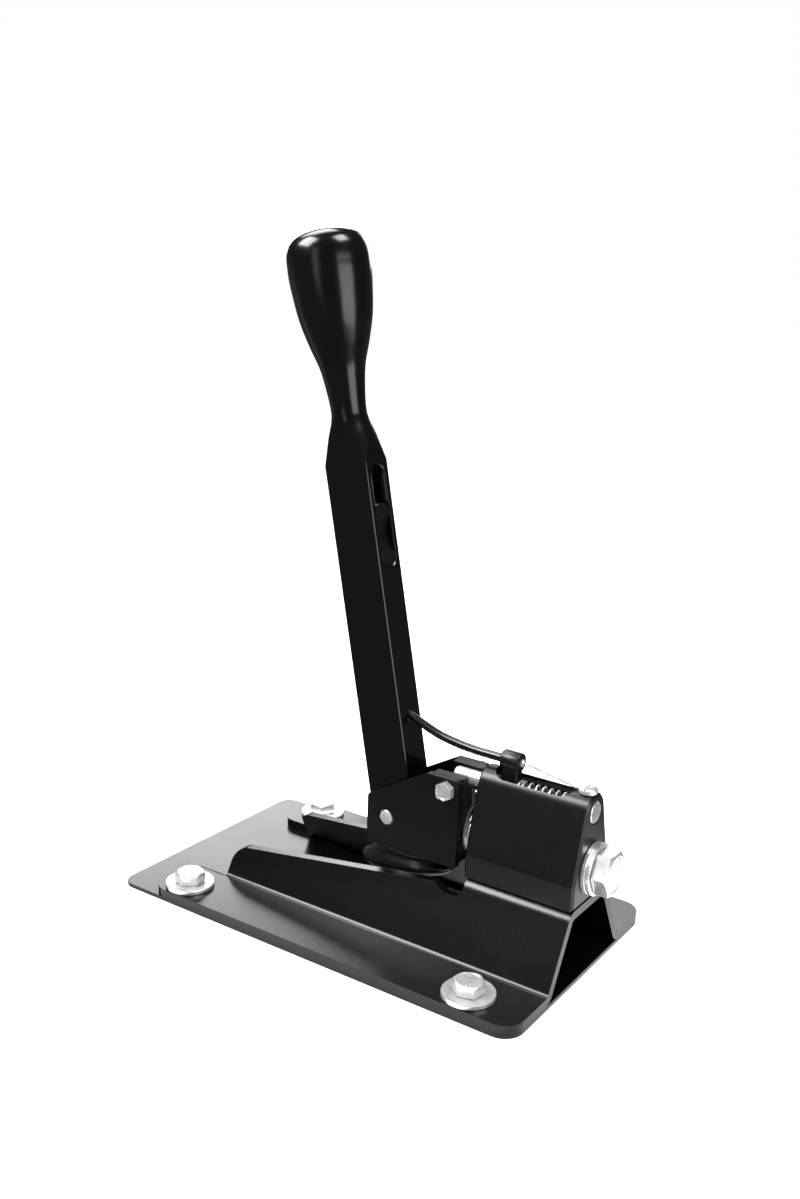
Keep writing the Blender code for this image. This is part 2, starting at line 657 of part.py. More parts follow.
def carrier_yoke(carrier):
    half = PLATE_GAP / 2 - SEAT
    low = AXIS_Z - YOKE_BELOW_AXIS
    high = AXIS_Z + PLATE_ABOVE_AXIS
    groove = LOCK_RADIUS + LOCK_ABOVE_AXIS * math.sin(GATE_LIMIT) + RUN
    floor = LOCK_Z - LOCK_RADIUS - 3 * RUN
    outline = rounded([
        (-half, low, 0), (half, low, 0), (half, high, 0), (groove, high, 0),
        (groove, floor, 1.5 * MM), (-groove, floor, 1.5 * MM), (-groove, high, 0), (-half, high, 0),
    ], steps=3)
    shift = carrier.location
    outline = [(u, v - shift.z) for u, v in outline]
    yoke = add_object("carrier_yoke", prism(outline, "X", YOKE_REAR - shift.x, YOKE_FRONT - shift.x), "anodised",
                      parent=carrier)
    over = 2 * MM
    drill(yoke, "bore", MAIN_RADIUS + FIT, Vector((YOKE_REAR - over, 0, AXIS_Z)) - shift, "X", YOKE_THICKNESS + 2 * over)
    drill(yoke, "pin_hole", CENTRE_PIN + FIT, Vector((YOKE_FRONT - PIN_DEPTH - SEAT, 0, AXIS_Z + CARRIER_PIN_HEIGHT))
          - shift, "X", PIN_DEPTH + over, 12)
    x, z = plate_screw_place()
    for sign, tag in ((-1, "near"), (1, "far")):
        for name, dx, dz, radius in (("screw", 0, 0, PLATE_SCREW_RADIUS),
                                     ("dowel", -DOWEL_OFFSET, -DOWEL_OFFSET, DOWEL_RADIUS)):
            inner = PLATE_GAP / 2 - PLATE_SCREW_DEPTH - SEAT
            start = inner if sign > 0 else -PLATE_GAP / 2 - over
            length = PLATE_GAP / 2 + over - inner
            drill(yoke, f"{name}_hole_{tag}", radius + FIT, Vector((x + dx, start, z + dz)) - shift, "Y", length, 12)


def side_plates(carrier):
    shift = carrier.location
    rear = PIVOT_X - PLATE_BEHIND_PIVOT
    low = AXIS_Z - PLATE_BELOW_AXIS
    high = AXIS_Z + PLATE_ABOVE_AXIS
    outline = rounded([
        (rear, low, 1.5 * MM), (YOKE_FRONT, low, 1 * MM), (YOKE_FRONT, high, 2 * MM),
        (YOKE_FRONT - PLATE_TOP_LENGTH, high, 3 * MM), (rear, low + PLATE_REAR_HEIGHT, 2 * MM),
    ], steps=3)
    outline = [(u - shift.x, v - shift.z) for u, v in outline]
    x, z = plate_screw_place()
    for sign, tag in ((-1, "near"), (1, "far")):
        low_y, high_y = sorted((sign * PLATE_GAP / 2, sign * PLATE_OUTER))
        plate = add_object(f"side_plate_{tag}", prism(outline, "Y", low_y, high_y), "coated", parent=carrier)
        edge = plate.modifiers.new("edges", "BEVEL")
        edge.width = 0.3 * MM
        edge.segments = 1
        edge.limit_method = "ANGLE"
        edge.angle_limit = math.radians(60)
        over = 2 * MM
        start = low_y - over
        length = PLATE_THICKNESS + 2 * over
        holes = (("pivot", PIVOT_X, AXIS_Z, PIVOT_RADIUS + FIT, ROUND),
                 ("screw", x, z, PLATE_SCREW_RADIUS + FIT, 12),
                 ("dowel", x - DOWEL_OFFSET, z - DOWEL_OFFSET, DOWEL_RADIUS + FIT, 12))
        for name, hx, hz, radius, count in holes:
            drill(plate, f"{name}_hole", radius, Vector((hx, start, hz)) - shift, "Y", length, count)


def plate_fasteners(carrier):
    x, z = plate_screw_place()
    inner = PLATE_GAP / 2 - PLATE_SCREW_DEPTH
    for sign, tag in ((-1, "near"), (1, "far")):
        screw = hex_bolt(PLATE_SCREW_RADIUS, PLATE_SCREW_FLATS, PLATE_SCREW_HEAD, PLATE_OUTER + SEAT - inner, 12)
        obj = add_object(f"plate_screw_{tag}", screw, "zinc", Vector((x, sign * (PLATE_OUTER + SEAT), z))
                         - carrier.location, "Y", carrier)
        if sign < 0:
            obj.rotation_euler = (math.pi / 2, 0, 0)
        length = PLATE_OUTER + DOWEL_PROUD - inner
        dowel = turned([(0, 0), (DOWEL_RADIUS, 0), (DOWEL_RADIUS, length - 0.4 * MM),
                        (DOWEL_RADIUS - 0.4 * MM, length), (0, length)], 12)
        obj = add_object(f"plate_dowel_{tag}", dowel, "steel", Vector((x - DOWEL_OFFSET, sign * inner, z - DOWEL_OFFSET))
                         - carrier.location, "Y", carrier)
        if sign < 0:
            obj.rotation_euler = (math.pi / 2, 0, 0)


def pivot_pin(carrier):
    half = PLATE_OUTER - RUN
    chamfer = 0.7 * MM
    pin = turned([(0, -half), (PIVOT_RADIUS - chamfer, -half), (PIVOT_RADIUS, chamfer - half),
                  (PIVOT_RADIUS, half - chamfer), (PIVOT_RADIUS - chamfer, half), (0, half)])
    add_object("pivot_pin", pin, "zinc", PIVOT - carrier.location, "Y", carrier)


def lock_pin(slide):
    """The lock pin with its collar, and the post that the cable's housing pushes."""
    shift = slide.location
    tip = LOCK_TIP - shift.x
    rear = COLLAR_REAR - shift.x
    front = COLLAR_FRONT - shift.x
    pin = turned([(0, tip), (LOCK_RADIUS - 0.8 * MM, tip), (LOCK_RADIUS, tip + 0.8 * MM), (LOCK_RADIUS, rear),
                  (COLLAR_RADIUS, rear), (COLLAR_RADIUS, front), (0, front)])
    lock = add_object("lock_pin", pin, "zinc", axis="X", parent=slide)
    flat = COLLAR_RADIUS * 0.55
    top = prism(rectangle(rear - MM, -COLLAR_RADIUS - MM, front + MM, COLLAR_RADIUS + MM), "Z", flat, 2 * COLLAR_RADIUS)
    boolean(lock, "flat", top)
    depth = flat + COLLAR_RADIUS / 2
    drill(lock, "spigot_hole", POST_SPIGOT + FIT, (POST_X - shift.x, 0, -COLLAR_RADIUS / 2), "Z", depth + MM, 12)
    stem = rectangle(-POST_LENGTH / 2, -POST_WIDTH / 2, POST_LENGTH / 2, POST_WIDTH / 2, 1.2 * MM)
    foot = flat + SEAT
    post = add_object("cable_post", prism(stem, "Z", foot, BARREL_ABOVE_LOCK), "anodised",
                      (POST_X - shift.x, 0, 0), parent=slide)
    half = BARREL_LENGTH / 2
    lip = 0.9 * MM
    barrel = turned([(0, -half), (BARREL_RADIUS - lip, -half), (BARREL_RADIUS, lip - half),
                     (BARREL_RADIUS, half - lip), (BARREL_RADIUS - lip, half), (0, half)])
    centre = (POST_X - shift.x, 0, BARREL_ABOVE_LOCK)
    boolean(post, "barrel", barrel, "UNION", centre, "X")
    spigot = turned([(0, 0), (POST_SPIGOT, 0), (POST_SPIGOT, depth), (0, depth)], 12)
    boolean(post, "spigot", spigot, "UNION", (POST_X - shift.x, 0, RUN - COLLAR_RADIUS / 2), "Z")
    start = POST_X - shift.x - half
    drill(post, "cable_seat", CABLE_RADIUS + FIT, (start - MM, 0, BARREL_ABOVE_LOCK), "X", MM + CABLE_SINK, 12)
    drill(post, "wire_way", WIRE_RADIUS + FIT, (start, 0, BARREL_ABOVE_LOCK), "X", BARREL_LENGTH, 8)
    ferrule = WIRE_RADIUS + 1.2 * MM
    drill(post, "ferrule_seat", ferrule + FIT, (start + BARREL_LENGTH - 1.5 * MM, 0, BARREL_ABOVE_LOCK), "X", 4 * MM, 12)
    collet = tube(WIRE_RADIUS + FIT, ferrule, 0, 2.6 * MM, 12)
    add_object("wire_ferrule", collet, "zinc", (start + BARREL_LENGTH - 1.3 * MM, 0, BARREL_ABOVE_LOCK), "X", slide)


def lock_bush():
    bore = LOCK_RADIUS + RUN
    seat = -SEAT
    bush = turned([(bore, seat - LOCK_BUSH_RIM_THICKNESS), (LOCK_BUSH_RIM, seat - LOCK_BUSH_RIM_THICKNESS),
                   (LOCK_BUSH_RIM, seat), (LOCK_BUSH_RADIUS, seat), (LOCK_BUSH_RADIUS, LOCK_BUSH_LENGTH - 3 * SEAT),
                   (bore, LOCK_BUSH_LENGTH - 3 * SEAT)], closed=True)
    add_object("lock_bush", bush, "zinc", (BLOCK_REAR, 0, LOCK_Z), "X")


def return_spring():
    start = COLLAR_FRONT + SEAT + SPRING_WIRE
    end = PLUG_X - SEAT - SPRING_WIRE
    per_turn = 12
    steps = SPRING_TURNS * per_turn
    path = []
    for k in range(steps + 1):
        angle = 2 * math.pi * k / per_turn
        path.append(Vector((start + (end - start) * k / steps, SPRING_RADIUS * math.cos(angle),
                            SPRING_RADIUS * math.sin(angle))))
    add_object("return_spring", bar_along(path, SPRING_WIRE, 5), "zinc", (0, 0, LOCK_Z))


def spring_plug():
    radius = SPRING_BORE - FIT
    chamfer = 0.8 * MM
    plug = add_object("spring_plug", turned([(0, 0), (radius, 0), (radius, PLUG_LENGTH - chamfer),
                      (radius - chamfer, PLUG_LENGTH), (0, PLUG_LENGTH)]), "zinc", (PLUG_X, 0, LOCK_Z), "X")
    drill(plug, "recess", PLUG_RECESS, (PLUG_X + PLUG_LENGTH * 0.3, 0, LOCK_Z), "X", PLUG_LENGTH)


def anchor_screw():
    seat = BLOCK_TOP + SEAT
    dome = [(ANCHOR_RADIUS * math.cos(a), ANCHOR_HEAD * (0.45 + 0.55 * math.sin(a)))
            for a in (math.pi / 2 * k / 5 for k in range(5))]
    profile = [(0, -ANCHOR_DEPTH), (ANCHOR_SHANK, -ANCHOR_DEPTH), (ANCHOR_SHANK, 0), (ANCHOR_RADIUS, 0), *dome, (0, ANCHOR_HEAD)]
    screw = add_object("anchor_screw", turned(profile), "zinc", (ANCHOR_X, 0, seat))
    slot = rectangle(ANCHOR_X - 0.6 * MM, -ANCHOR_RADIUS - MM, ANCHOR_X + 0.6 * MM, ANCHOR_RADIUS + MM)
    boolean(screw, "slot", prism(slot, "Z", seat + ANCHOR_HEAD * 0.5, seat + 2 * ANCHOR_HEAD))


def lever_profile():
    """The turned blank's outline as (radius, height) from the foot to the top of the knob."""
    widest = NECK_S + KNOB_HEIGHT
    top = widest + KNOB_DOME
    neck = [Vector(p) for p in (
        (BLANK_RADIUS, BAR_HEIGHT),
        (BLANK_RADIUS * 0.90, BAR_HEIGHT + NECK_HEIGHT * 0.22),
        (NECK_RADIUS * 1.33, BAR_HEIGHT + NECK_HEIGHT * 0.52),
        (NECK_RADIUS * 1.06, BAR_HEIGHT + NECK_HEIGHT * 0.80),
        (NECK_RADIUS, NECK_S),
        (NECK_RADIUS * 1.08, NECK_S + KNOB_HEIGHT * 0.14),
        (KNOB_RADIUS * 0.56, NECK_S + KNOB_HEIGHT * 0.33),
        (KNOB_RADIUS * 0.74, NECK_S + KNOB_HEIGHT * 0.52),
        (KNOB_RADIUS * 0.90, NECK_S + KNOB_HEIGHT * 0.73),
        (KNOB_RADIUS, widest),
        (KNOB_RADIUS * 0.975, widest + KNOB_DOME * 0.36),
        (KNOB_RADIUS * 0.90, widest + KNOB_DOME * 0.63),
        (KNOB_RADIUS * 0.76, widest + KNOB_DOME * 0.83),
        (KNOB_RADIUS * 0.52, widest + KNOB_DOME * 0.95),
        (KNOB_RADIUS * 0.24, widest + KNOB_DOME * 0.993),
    )]
    foot_cone = (BLANK_RADIUS - SHANK_RADIUS) * 0.85
    end = -EYE_BELOW_PIVOT - EYE_RADIUS * 0.3
    return [(0, end), (SHANK_RADIUS, end), (SHANK_RADIUS, -BAR_BELOW_PIVOT - foot_cone),
            (BLANK_RADIUS, -BAR_BELOW_PIVOT), *[tuple(p) for p in smooth(neck, 2)], (0, top)]


def lever(throw):
    """Knob, neck and bar from one turned blank: the bar's four flats run out in arches in the flare."""
    body = add_object("lever", turned(lever_profile(), 32), "gloss", parent=throw)
    far = 2 * BLANK_RADIUS
    low = -EYE_BELOW_PIVOT - 2 * EYE_RADIUS
    for sign, tag in ((-1, "rear"), (1, "front")):
        u0, u1 = sorted((sign * LEVER_DEPTH / 2, sign * far))
        boolean(body, f"flat_{tag}", prism(rectangle(u0, -far, u1, far), "Z", low, NECK_S))
    for sign, tag in ((-1, "near"), (1, "far")):
        v0, v1 = sorted((sign * LEVER_WIDTH / 2, sign * far))
        boolean(body, f"flat_{tag}", prism(rectangle(-far, v0, far, v1), "Z", low, NECK_S))
    half = EYE_WIDTH / 2
    eye = turned([(0, -half), (EYE_RADIUS, -half), (EYE_RADIUS, half), (0, half)], 32)
    boolean(body, "eye", eye, "UNION", (0, 0, -EYE_BELOW_PIVOT), "Y")
    for sign, tag in ((-1, "near"), (1, "far")):
        v0, v1 = sorted((sign * half, sign * far))
        cheek = prism(rectangle(-far, v0, far, v1), "Z", low, -EYE_BELOW_PIVOT + EYE_RADIUS)
        boolean(body, f"cheek_{tag}", cheek)
    drill(body, "eye_bore", EYE_BUSH + FIT, (0, -far, -EYE_BELOW_PIVOT), "Y", 2 * far)
    drill(body, "pivot_bore", PIVOT_BUSH + FIT, (0, -far, 0), "Y", 2 * far)
    front = LEVER_DEPTH / 2
    pocket = rectangle(-POCKET_WIDTH / 2, POCKET_S, POCKET_WIDTH / 2, POCKET_S + POCKET_LENGTH, POCKET_WIDTH * 0.49)
    boolean(body, "pocket", prism(pocket, "X", front - POCKET_DEPTH, front + MM))
    drill(body, "rod_hole", ROD_RADIUS + FIT, (front - ROD_DEPTH, 0, POCKET_S - ROD_END), "Z",
          POCKET_LENGTH + 2 * ROD_END, 12)
    return body


def lever_small_parts(throw):
    for sign, tag in ((-1, "near"), (1, "far")):
        rim = PLATE_GAP / 2 - RUN
        flat = LEVER_WIDTH / 2 + SEAT
        bore = PIVOT_RADIUS + RUN
        bush = turned([(bore, rim), (PIVOT_BUSH_RIM, rim), (PIVOT_BUSH_RIM, flat), (PIVOT_BUSH, flat),
                       (PIVOT_BUSH, rim - PIVOT_BUSH_LENGTH), (bore, rim - PIVOT_BUSH_LENGTH)], closed=True)
        obj = add_object(f"pivot_bush_{tag}", bush, "bronze", axis="Y", parent=throw)
        if sign < 0:
            obj.rotation_euler = (math.pi / 2, 0, 0)
    half = EYE_WIDTH / 2 - SEAT
    add_object("selector_bush", tube(EYE_BORE, EYE_BUSH, -half, half), "bronze",
               (0, 0, -EYE_BELOW_PIVOT), "Y", throw)
    start = POCKET_S - ROD_END + RUN
    length = POCKET_LENGTH + 2 * ROD_END - 2 * RUN
    rod = turned([(0, 0), (ROD_RADIUS, 0), (ROD_RADIUS, length), (0, length)], 12)
    add_object("trigger_rod", rod, "steel", (LEVER_DEPTH / 2 - ROD_DEPTH, 0, start), "Z", throw)


def trigger(slide):
    """A finger slide that runs on the rod in the lever's pocket."""
    half = POCKET_WIDTH / 2 - RUN
    front = LEVER_DEPTH / 2 - TRIGGER_SINK
    back = LEVER_DEPTH / 2 - POCKET_DEPTH + RUN
    outline = rectangle(-half, 0, half, TRIGGER_LENGTH, half * 0.98)
    body = add_object("trigger", prism(outline, "X", back, front), "anodised", parent=slide)
    reach = front + SCALLOP_RADIUS - SCALLOP_DEPTH
    drill(body, "scallop", SCALLOP_RADIUS, (reach, -POCKET_WIDTH, TRIGGER_LENGTH / 2), "Y", 2 * POCKET_WIDTH, 48)
    drill(body, "rod_way", ROD_RADIUS + RUN, (LEVER_DEPTH / 2 - ROD_DEPTH, 0, -MM), "Z", TRIGGER_LENGTH + 2 * MM, 12)


def curve_tube(name, points, radius, finish, parent=None):
    data = bpy.data.curves.new(name, "CURVE")
    data.dimensions = "3D"
    data.bevel_depth = radius
    data.bevel_resolution = 2
    data.use_fill_caps = True
    line = data.splines.new("POLY")
    line.points.add(len(points) - 1)
    for point, place in zip(line.points, points):
        point.co = (*place, 1)
    data.materials.append(material(name, *FINISHES[finish]))
    obj = bpy.data.objects.new(name, data)
    bpy.context.collection.objects.link(obj)
    obj.parent = parent
    return obj


# The cable's route over the block, as steps back from the post: along X, and up
CABLE_ROUTE = ((-7 * MM, 0.0), (-15 * MM, 0.2 * MM), (-25 * MM, 1.2 * MM), (-35.5 * MM, 3.2 * MM))


def cable(body):
    """The housing from the lever's front face to the post, and the bare wire on to the anchor screw."""
    end = Vector((POST_X - BARREL_LENGTH / 2 + CABLE_SINK - RUN, 0, BARREL_Z))
    front = Vector((math.cos(LEAN), 0, math.sin(LEAN)))
    up = Vector((-math.sin(LEAN), 0, math.cos(LEAN)))
    leave = PIVOT + LEVER_DEPTH / 2 * front + CABLE_EXIT_HEIGHT * up
    run = Vector((math.cos(math.radians(24)), 0, -math.sin(math.radians(24))))
    inside = leave - CABLE_SINK * run
    face = end - Vector((CABLE_SINK, 0, 0))
    over = [face + Vector((dx, 0, dz)) for dx, dz in reversed(CABLE_ROUTE)]
    route = [inside, leave, leave + 4 * MM * run, *over, face, end]
    curve_tube("cable_housing", smooth(route, 4), CABLE_RADIUS, "plastic")
    hole = turned([(0, 0), (CABLE_RADIUS + FIT, 0), (CABLE_RADIUS + FIT, CABLE_SINK * 3), (0, CABLE_SINK * 3)], 12)
    cutter = boolean(body, "cable_hole", hole)
    start = inside - 1.2 * RUN * run
    local = Vector(((start - PIVOT).dot(front), 0, (start - PIVOT).dot(up)))
    tilt = run.to_track_quat("Z", "Y").to_matrix().to_4x4()
    upright = Matrix((front, Vector((0, 1, 0)), up)).to_4x4()
    cutter.matrix_local = Matrix.Translation(local) @ upright @ tilt
    exit_x = POST_X + BARREL_LENGTH / 2 - 1.3 * MM
    anchor = Vector((ANCHOR_X - ANCHOR_RADIUS - RUN - WIRE_RADIUS, 0, BLOCK_TOP + SEAT + RUN + WIRE_RADIUS))
    wire = [Vector((exit_x, 0, BARREL_Z)), Vector((exit_x + 4 * MM, 0, BARREL_Z)), (Vector((exit_x, 0, BARREL_Z)) + anchor)
            / 2 + Vector((0, 0, 0.3 * MM)), anchor - Vector((1.5 * MM, 0, 0)), anchor]
    curve_tube("inner_wire", smooth(wire, 3), WIRE_RADIUS, "zinc")


# The bellows' outline from top to bottom: half length, half width, height below the carrier's plates
BELLOWS = (
    (21.5, 13.8, 0.4), (21.5, 13.8, 2.0), (19.4, 12.2, 3.8), (19.6, 12.2, 5.0), (22.4, 13.5, 7.6),
    (23.4, 14.1, 10.2), (22.6, 13.5, 12.2), (18.0, 12.0, 14.0), (12.6, 10.9, 15.2), (9.8, 9.7, 16.4), (9.6, 9.5, 18.4),
)


def bellows(carrier):
    """An oval rubber bellows that hangs under the carrier and closes round the lever's foot."""
    bottom = AXIS_Z - PLATE_BELOW_AXIS
    count = 32
    outer = []
    for half_length, half_width, drop in BELLOWS:
        z = bottom - drop * MM
        neck = min(max((drop - 9) / 7, 0), 1)
        shank = PIVOT_X + (AXIS_Z - z) * math.tan(LEAN)
        centre = (PIVOT_X + BELLOWS_AHEAD) * (1 - neck) + shank * neck
        outer.append((centre, half_length * MM, half_width * MM, z))
    inner = [(c, a - BELLOWS_WALL, b - BELLOWS_WALL, z) for c, a, b, z in reversed(outer)]
    rings = []
    for centre, half_length, half_width, z in outer + inner:
        rings.append([
            Vector((centre + half_length * math.cos(t), half_width * math.sin(t), z)) - carrier.location
            for t in (2 * math.pi * k / count for k in range(count))
        ])
    add_object("bellows", loft(rings, closed=True), "rubber", parent=carrier)


def main():
    clear_scene()
    gate = axis_empty("gate_axis", (YOKE_FRONT, 0, AXIS_Z))
    throw = axis_empty("throw_axis", PIVOT, LEAN)
    lock = axis_empty("lock_axis", (BLOCK_REAR, 0, LOCK_Z))
    finger = axis_empty("trigger_axis", (0, 0, POCKET_S + RUN))
    finger.parent = throw
    base_plate()
    hat_bracket()
    flange_fasteners()
    gate_block()
    block_fasteners()
    main_bushes()
    main_bolt_set(gate)
    centring_spring()
    spring_pins(gate)
    carrier_yoke(gate)
    side_plates(gate)
    plate_fasteners(gate)
    pivot_pin(gate)
    lock_pin(lock)
    lock_bush()
    return_spring()
    spring_plug()
    anchor_screw()
    body = lever(throw)
    lever_small_parts(throw)
    trigger(finger)
    cable(body)
    bellows(gate)


main()
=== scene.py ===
"""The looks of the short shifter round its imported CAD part, laid out as a Blender add-on."""

import json
import math

import bmesh
import bpy
from bpy.props import FloatProperty, FloatVectorProperty, IntProperty, PointerProperty
from mathutils import Matrix, Vector


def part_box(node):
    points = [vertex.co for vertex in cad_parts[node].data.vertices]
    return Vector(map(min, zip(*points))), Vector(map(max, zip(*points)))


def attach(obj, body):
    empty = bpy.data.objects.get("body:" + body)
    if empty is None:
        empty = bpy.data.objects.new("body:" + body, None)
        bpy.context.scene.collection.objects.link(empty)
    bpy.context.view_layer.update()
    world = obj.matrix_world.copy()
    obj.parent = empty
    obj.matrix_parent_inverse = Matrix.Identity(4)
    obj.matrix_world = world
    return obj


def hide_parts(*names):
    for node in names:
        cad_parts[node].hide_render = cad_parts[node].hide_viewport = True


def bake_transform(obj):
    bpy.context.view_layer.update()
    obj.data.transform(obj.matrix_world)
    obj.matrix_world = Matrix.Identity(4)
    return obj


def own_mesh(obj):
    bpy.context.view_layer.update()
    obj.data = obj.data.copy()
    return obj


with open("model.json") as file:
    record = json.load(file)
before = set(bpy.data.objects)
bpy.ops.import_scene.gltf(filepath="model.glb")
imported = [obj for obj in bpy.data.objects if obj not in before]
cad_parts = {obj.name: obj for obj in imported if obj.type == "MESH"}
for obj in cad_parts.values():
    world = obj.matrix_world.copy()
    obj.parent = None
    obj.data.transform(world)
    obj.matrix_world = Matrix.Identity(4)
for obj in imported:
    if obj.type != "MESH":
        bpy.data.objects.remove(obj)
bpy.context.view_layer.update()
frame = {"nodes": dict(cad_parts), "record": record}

bl_info = {
    "name": "Short shifter",
    "version": (1, 0, 0),
    "blender": (4, 5, 0),
    "location": "3D View > Sidebar > Shifter",
    "description": "Builds the visible pieces, finishes and stage of a floor-mounted gear shifter",
    "category": "Add Mesh",
}

MM = 0.001
SEAT = 0.1 * MM         # between faces that sit on each other
RUN = 0.3 * MM          # between faces that slide
BOLT_HOLE = 4.2 * MM    # radii, as in the part's source
MAIN_HOLE = 6.2 * MM
SCREW_HOLE = 2.7 * MM
DOWEL_HOLE = 1.7 * MM
WIRE = 0.6 * MM         # radius of the inner wire
SIDES = (("near", -1), ("far", 1))
BOX = {name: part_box(name) for name in frame["nodes"]}


def middle(node):
    low, high = BOX[node]
    return (Vector(low) + Vector(high)) / 2


def four(name):
    return [middle(f"{name}_{i + 1}") for i in range(4)]


def low(node, axis):
    return BOX[node][0]["xyz".index(axis)]


def high(node, axis):
    return BOX[node][1]["xyz".index(axis)]


def span(node, axis):
    return low(node, axis), high(node, axis)


def size(node, axis):
    return high(node, axis) - low(node, axis)


def faces(node):
    """How far the node's inner and outer faces are from the middle plane."""
    return sorted((abs(low(node, "y")), abs(high(node, "y"))))


def outwards(sign):
    return "Y" if sign > 0 else "-Y"


AXIS_Z = middle("main_washer_1").z
LOCK_Z = middle("spring_plug").z
PIVOT = Vector((middle("pivot_pin").x, 0, AXIS_Z))
POST = middle("wire_ferrule")
LEAN = math.atan2(PIVOT.x - middle("selector_bush").x, AXIS_Z - middle("selector_bush").z)
UP = Vector((math.sin(LEAN), 0, math.cos(LEAN)))
AHEAD = Vector((math.cos(LEAN), 0, -math.sin(LEAN)))
UPRIGHT = Matrix((AHEAD, Vector((0, 1, 0)), UP)).transposed().to_4x4()
LEVER_FRAME = Matrix.Translation(PIVOT) @ UPRIGHT


# Meshes

def around(count):
    return [2 * math.pi * i / count for i in range(count)]


def ring(radius, height, count):
    return [Vector((radius * math.cos(a), radius * math.sin(a), height)) for a in around(count)]


def hexagon(flats, height_at, count):
    """A six-sided ring; height_at gives the height for the distance from the axis."""
    points = []
    for angle in around(count):
        radius = flats / 2 / math.cos((angle + math.pi / 6) % (math.pi / 3) - math.pi / 6)
        points.append(Vector((radius * math.cos(angle), radius * math.sin(angle), height_at(radius))))
    return points


def loft(rings, closed=False):
    bm = bmesh.new()
    rows = [[bm.verts.new(p) for p in points] for points in rings]
    pairs = list(zip(rows, rows[1:]))
    if closed:
        pairs.append((rows[-1], rows[0]))
    for below, above in pairs:
        count = max(len(below), len(above))
        for i in range(count):
            j = (i + 1) % count
            bm.faces.new(list(dict.fromkeys((
                below[i % len(below)], below[j % len(below)], above[j % len(above)], above[i % len(above)]))))
    if not closed:
        for row in (rows[0], rows[-1]):
            if len(row) > 2:
                bm.faces.new(row)
    bmesh.ops.recalc_face_normals(bm, faces=bm.faces)
    return bm


def turned(points, count=64, closed=False):
    return loft([ring(r, z, count) if r > 0 else [Vector((0, 0, z))] for r, z in points], closed)


def rod(radius, length, count, start=0.0):
    """A plain cylinder along Z."""
    return turned([(0, start), (radius, start), (radius, start + length), (0, start + length)], count)


def tube(inner, outer, start, end, edge, count=64):
    return turned([
        (inner, start + edge), (inner + edge, start), (outer - edge, start), (outer, start + edge),
        (outer, end - edge), (outer - edge, end), (inner + edge, end), (inner, end - edge)], count, True)


def rounded(corners, steps=8):
    """The outline through (u, v, radius) corners, with an arc at each rounded one."""
    outline = []
    for i, (u, v, radius) in enumerate(corners):
        here = Vector((u, v))
        if radius <= 0:
            outline.append(here)
            continue
        back = (Vector(corners[i - 1][:2]) - here).normalized()
        ahead = (Vector(corners[(i + 1) % len(corners)][:2]) - here).normalized()
        half = back.angle(ahead) / 2
        centre = here + (back + ahead).normalized() * radius / math.sin(half)
        start = here + back * radius / math.tan(half) - centre
        end = here + ahead * radius / math.tan(half) - centre
        sweep = start.angle_signed(end)
        for k in range(steps + 1):
            outline.append(centre + Matrix.Rotation(-sweep * k / steps, 2) @ start)
    return outline


def rectangle(u0, v0, u1, v1, radius=0.0, steps=8):
    return rounded([(u0, v0, radius), (u1, v0, radius), (u1, v1, radius), (u0, v1, radius)], steps)


def inset(outline, depth):
    """A convex outline moved inwards by the depth; it runs anticlockwise."""
    moved = []
    for i, here in enumerate(outline):
        before = (here - outline[i - 1]).normalized()
        after = (outline[(i + 1) % len(outline)] - here).normalized()
        normals = [Vector((-run.y, run.x)) for run in (before, after)]
        moved.append(here + (normals[0] + normals[1]) / (1 + normals[0].dot(normals[1])) * depth)
    return moved


SPREAD = {
    "X": lambda u, v, w: Vector((w, u, v)),
    "Y": lambda u, v, w: Vector((u, w, v)),
    "Z": lambda u, v, w: Vector((u, v, w)),
}


def prism(outline, along, start, end):
    spread = SPREAD[along]
    return loft([[spread(u, v, w) for u, v in outline] for w in (start, end)])


def smooth(points, steps):
    """Points along a smooth curve that passes through the given ones."""
    ends = [2 * points[0] - points[1], *points, 2 * points[-1] - points[-2]]
    out = []
    for a, b, c, d in zip(ends, ends[1:], ends[2:], ends[3:]):
        for k in range(steps):
            t = k / steps
            out.append(0.5 * (2 * b + (c - a) * t + (2 * a - 5 * b + 4 * c - d) * t * t
                              + (3 * b - a - 3 * c + d) * t ** 3))
    return out + [points[-1]]


def bar_along(path, radius, sides):
    rings = []
    side = None
    for i, here in enumerate(path):
        ahead = (path[min(i + 1, len(path) - 1)] - path[max(i - 1, 0)]).normalized()
        if side is None:
            side = ahead.orthogonal().normalized()
        side = (side - ahead * side.dot(ahead)).normalized()
        up = ahead.cross(side)
        rings.append([here + radius * (math.cos(a) * side + math.sin(a) * up) for a in around(sides)])
    return loft(rings)


TURN = {
    "X": Matrix.Rotation(math.pi / 2, 4, "Y"),
    "Y": Matrix.Rotation(-math.pi / 2, 4, "X"),
    "-Y": Matrix.Rotation(math.pi / 2, 4, "X"),
    "Z": Matrix.Identity(4),
}


def at(place, axis="Z"):
    return Matrix.Translation(Vector(place)) @ TURN[axis]


def solid(name, bm, matrix=None):
    """Links the mesh as an object at the world's origin, with the matrix worked into its vertices."""
    if matrix is not None:
        bm.transform(matrix)
    bmesh.ops.recalc_face_normals(bm, faces=bm.faces)
    mesh = bpy.data.meshes.new(name)
    bm.to_mesh(mesh)
    bm.free()
    obj = bpy.data.objects.new(name, mesh)
    bpy.context.collection.objects.link(obj)
    return obj


def cut(obj, bm, matrix=None, operation="DIFFERENCE"):
    tool = solid("tool", bm, matrix)
    step = obj.modifiers.new("cut", "BOOLEAN")
    step.operation = operation
    step.solver = "EXACT"
    step.object = tool
    graph = bpy.context.evaluated_depsgraph_get()
    made = bpy.data.meshes.new_from_object(obj.evaluated_get(graph))
    obj.modifiers.clear()
    obj.data = made
    bpy.data.objects.remove(tool, do_unlink=True)


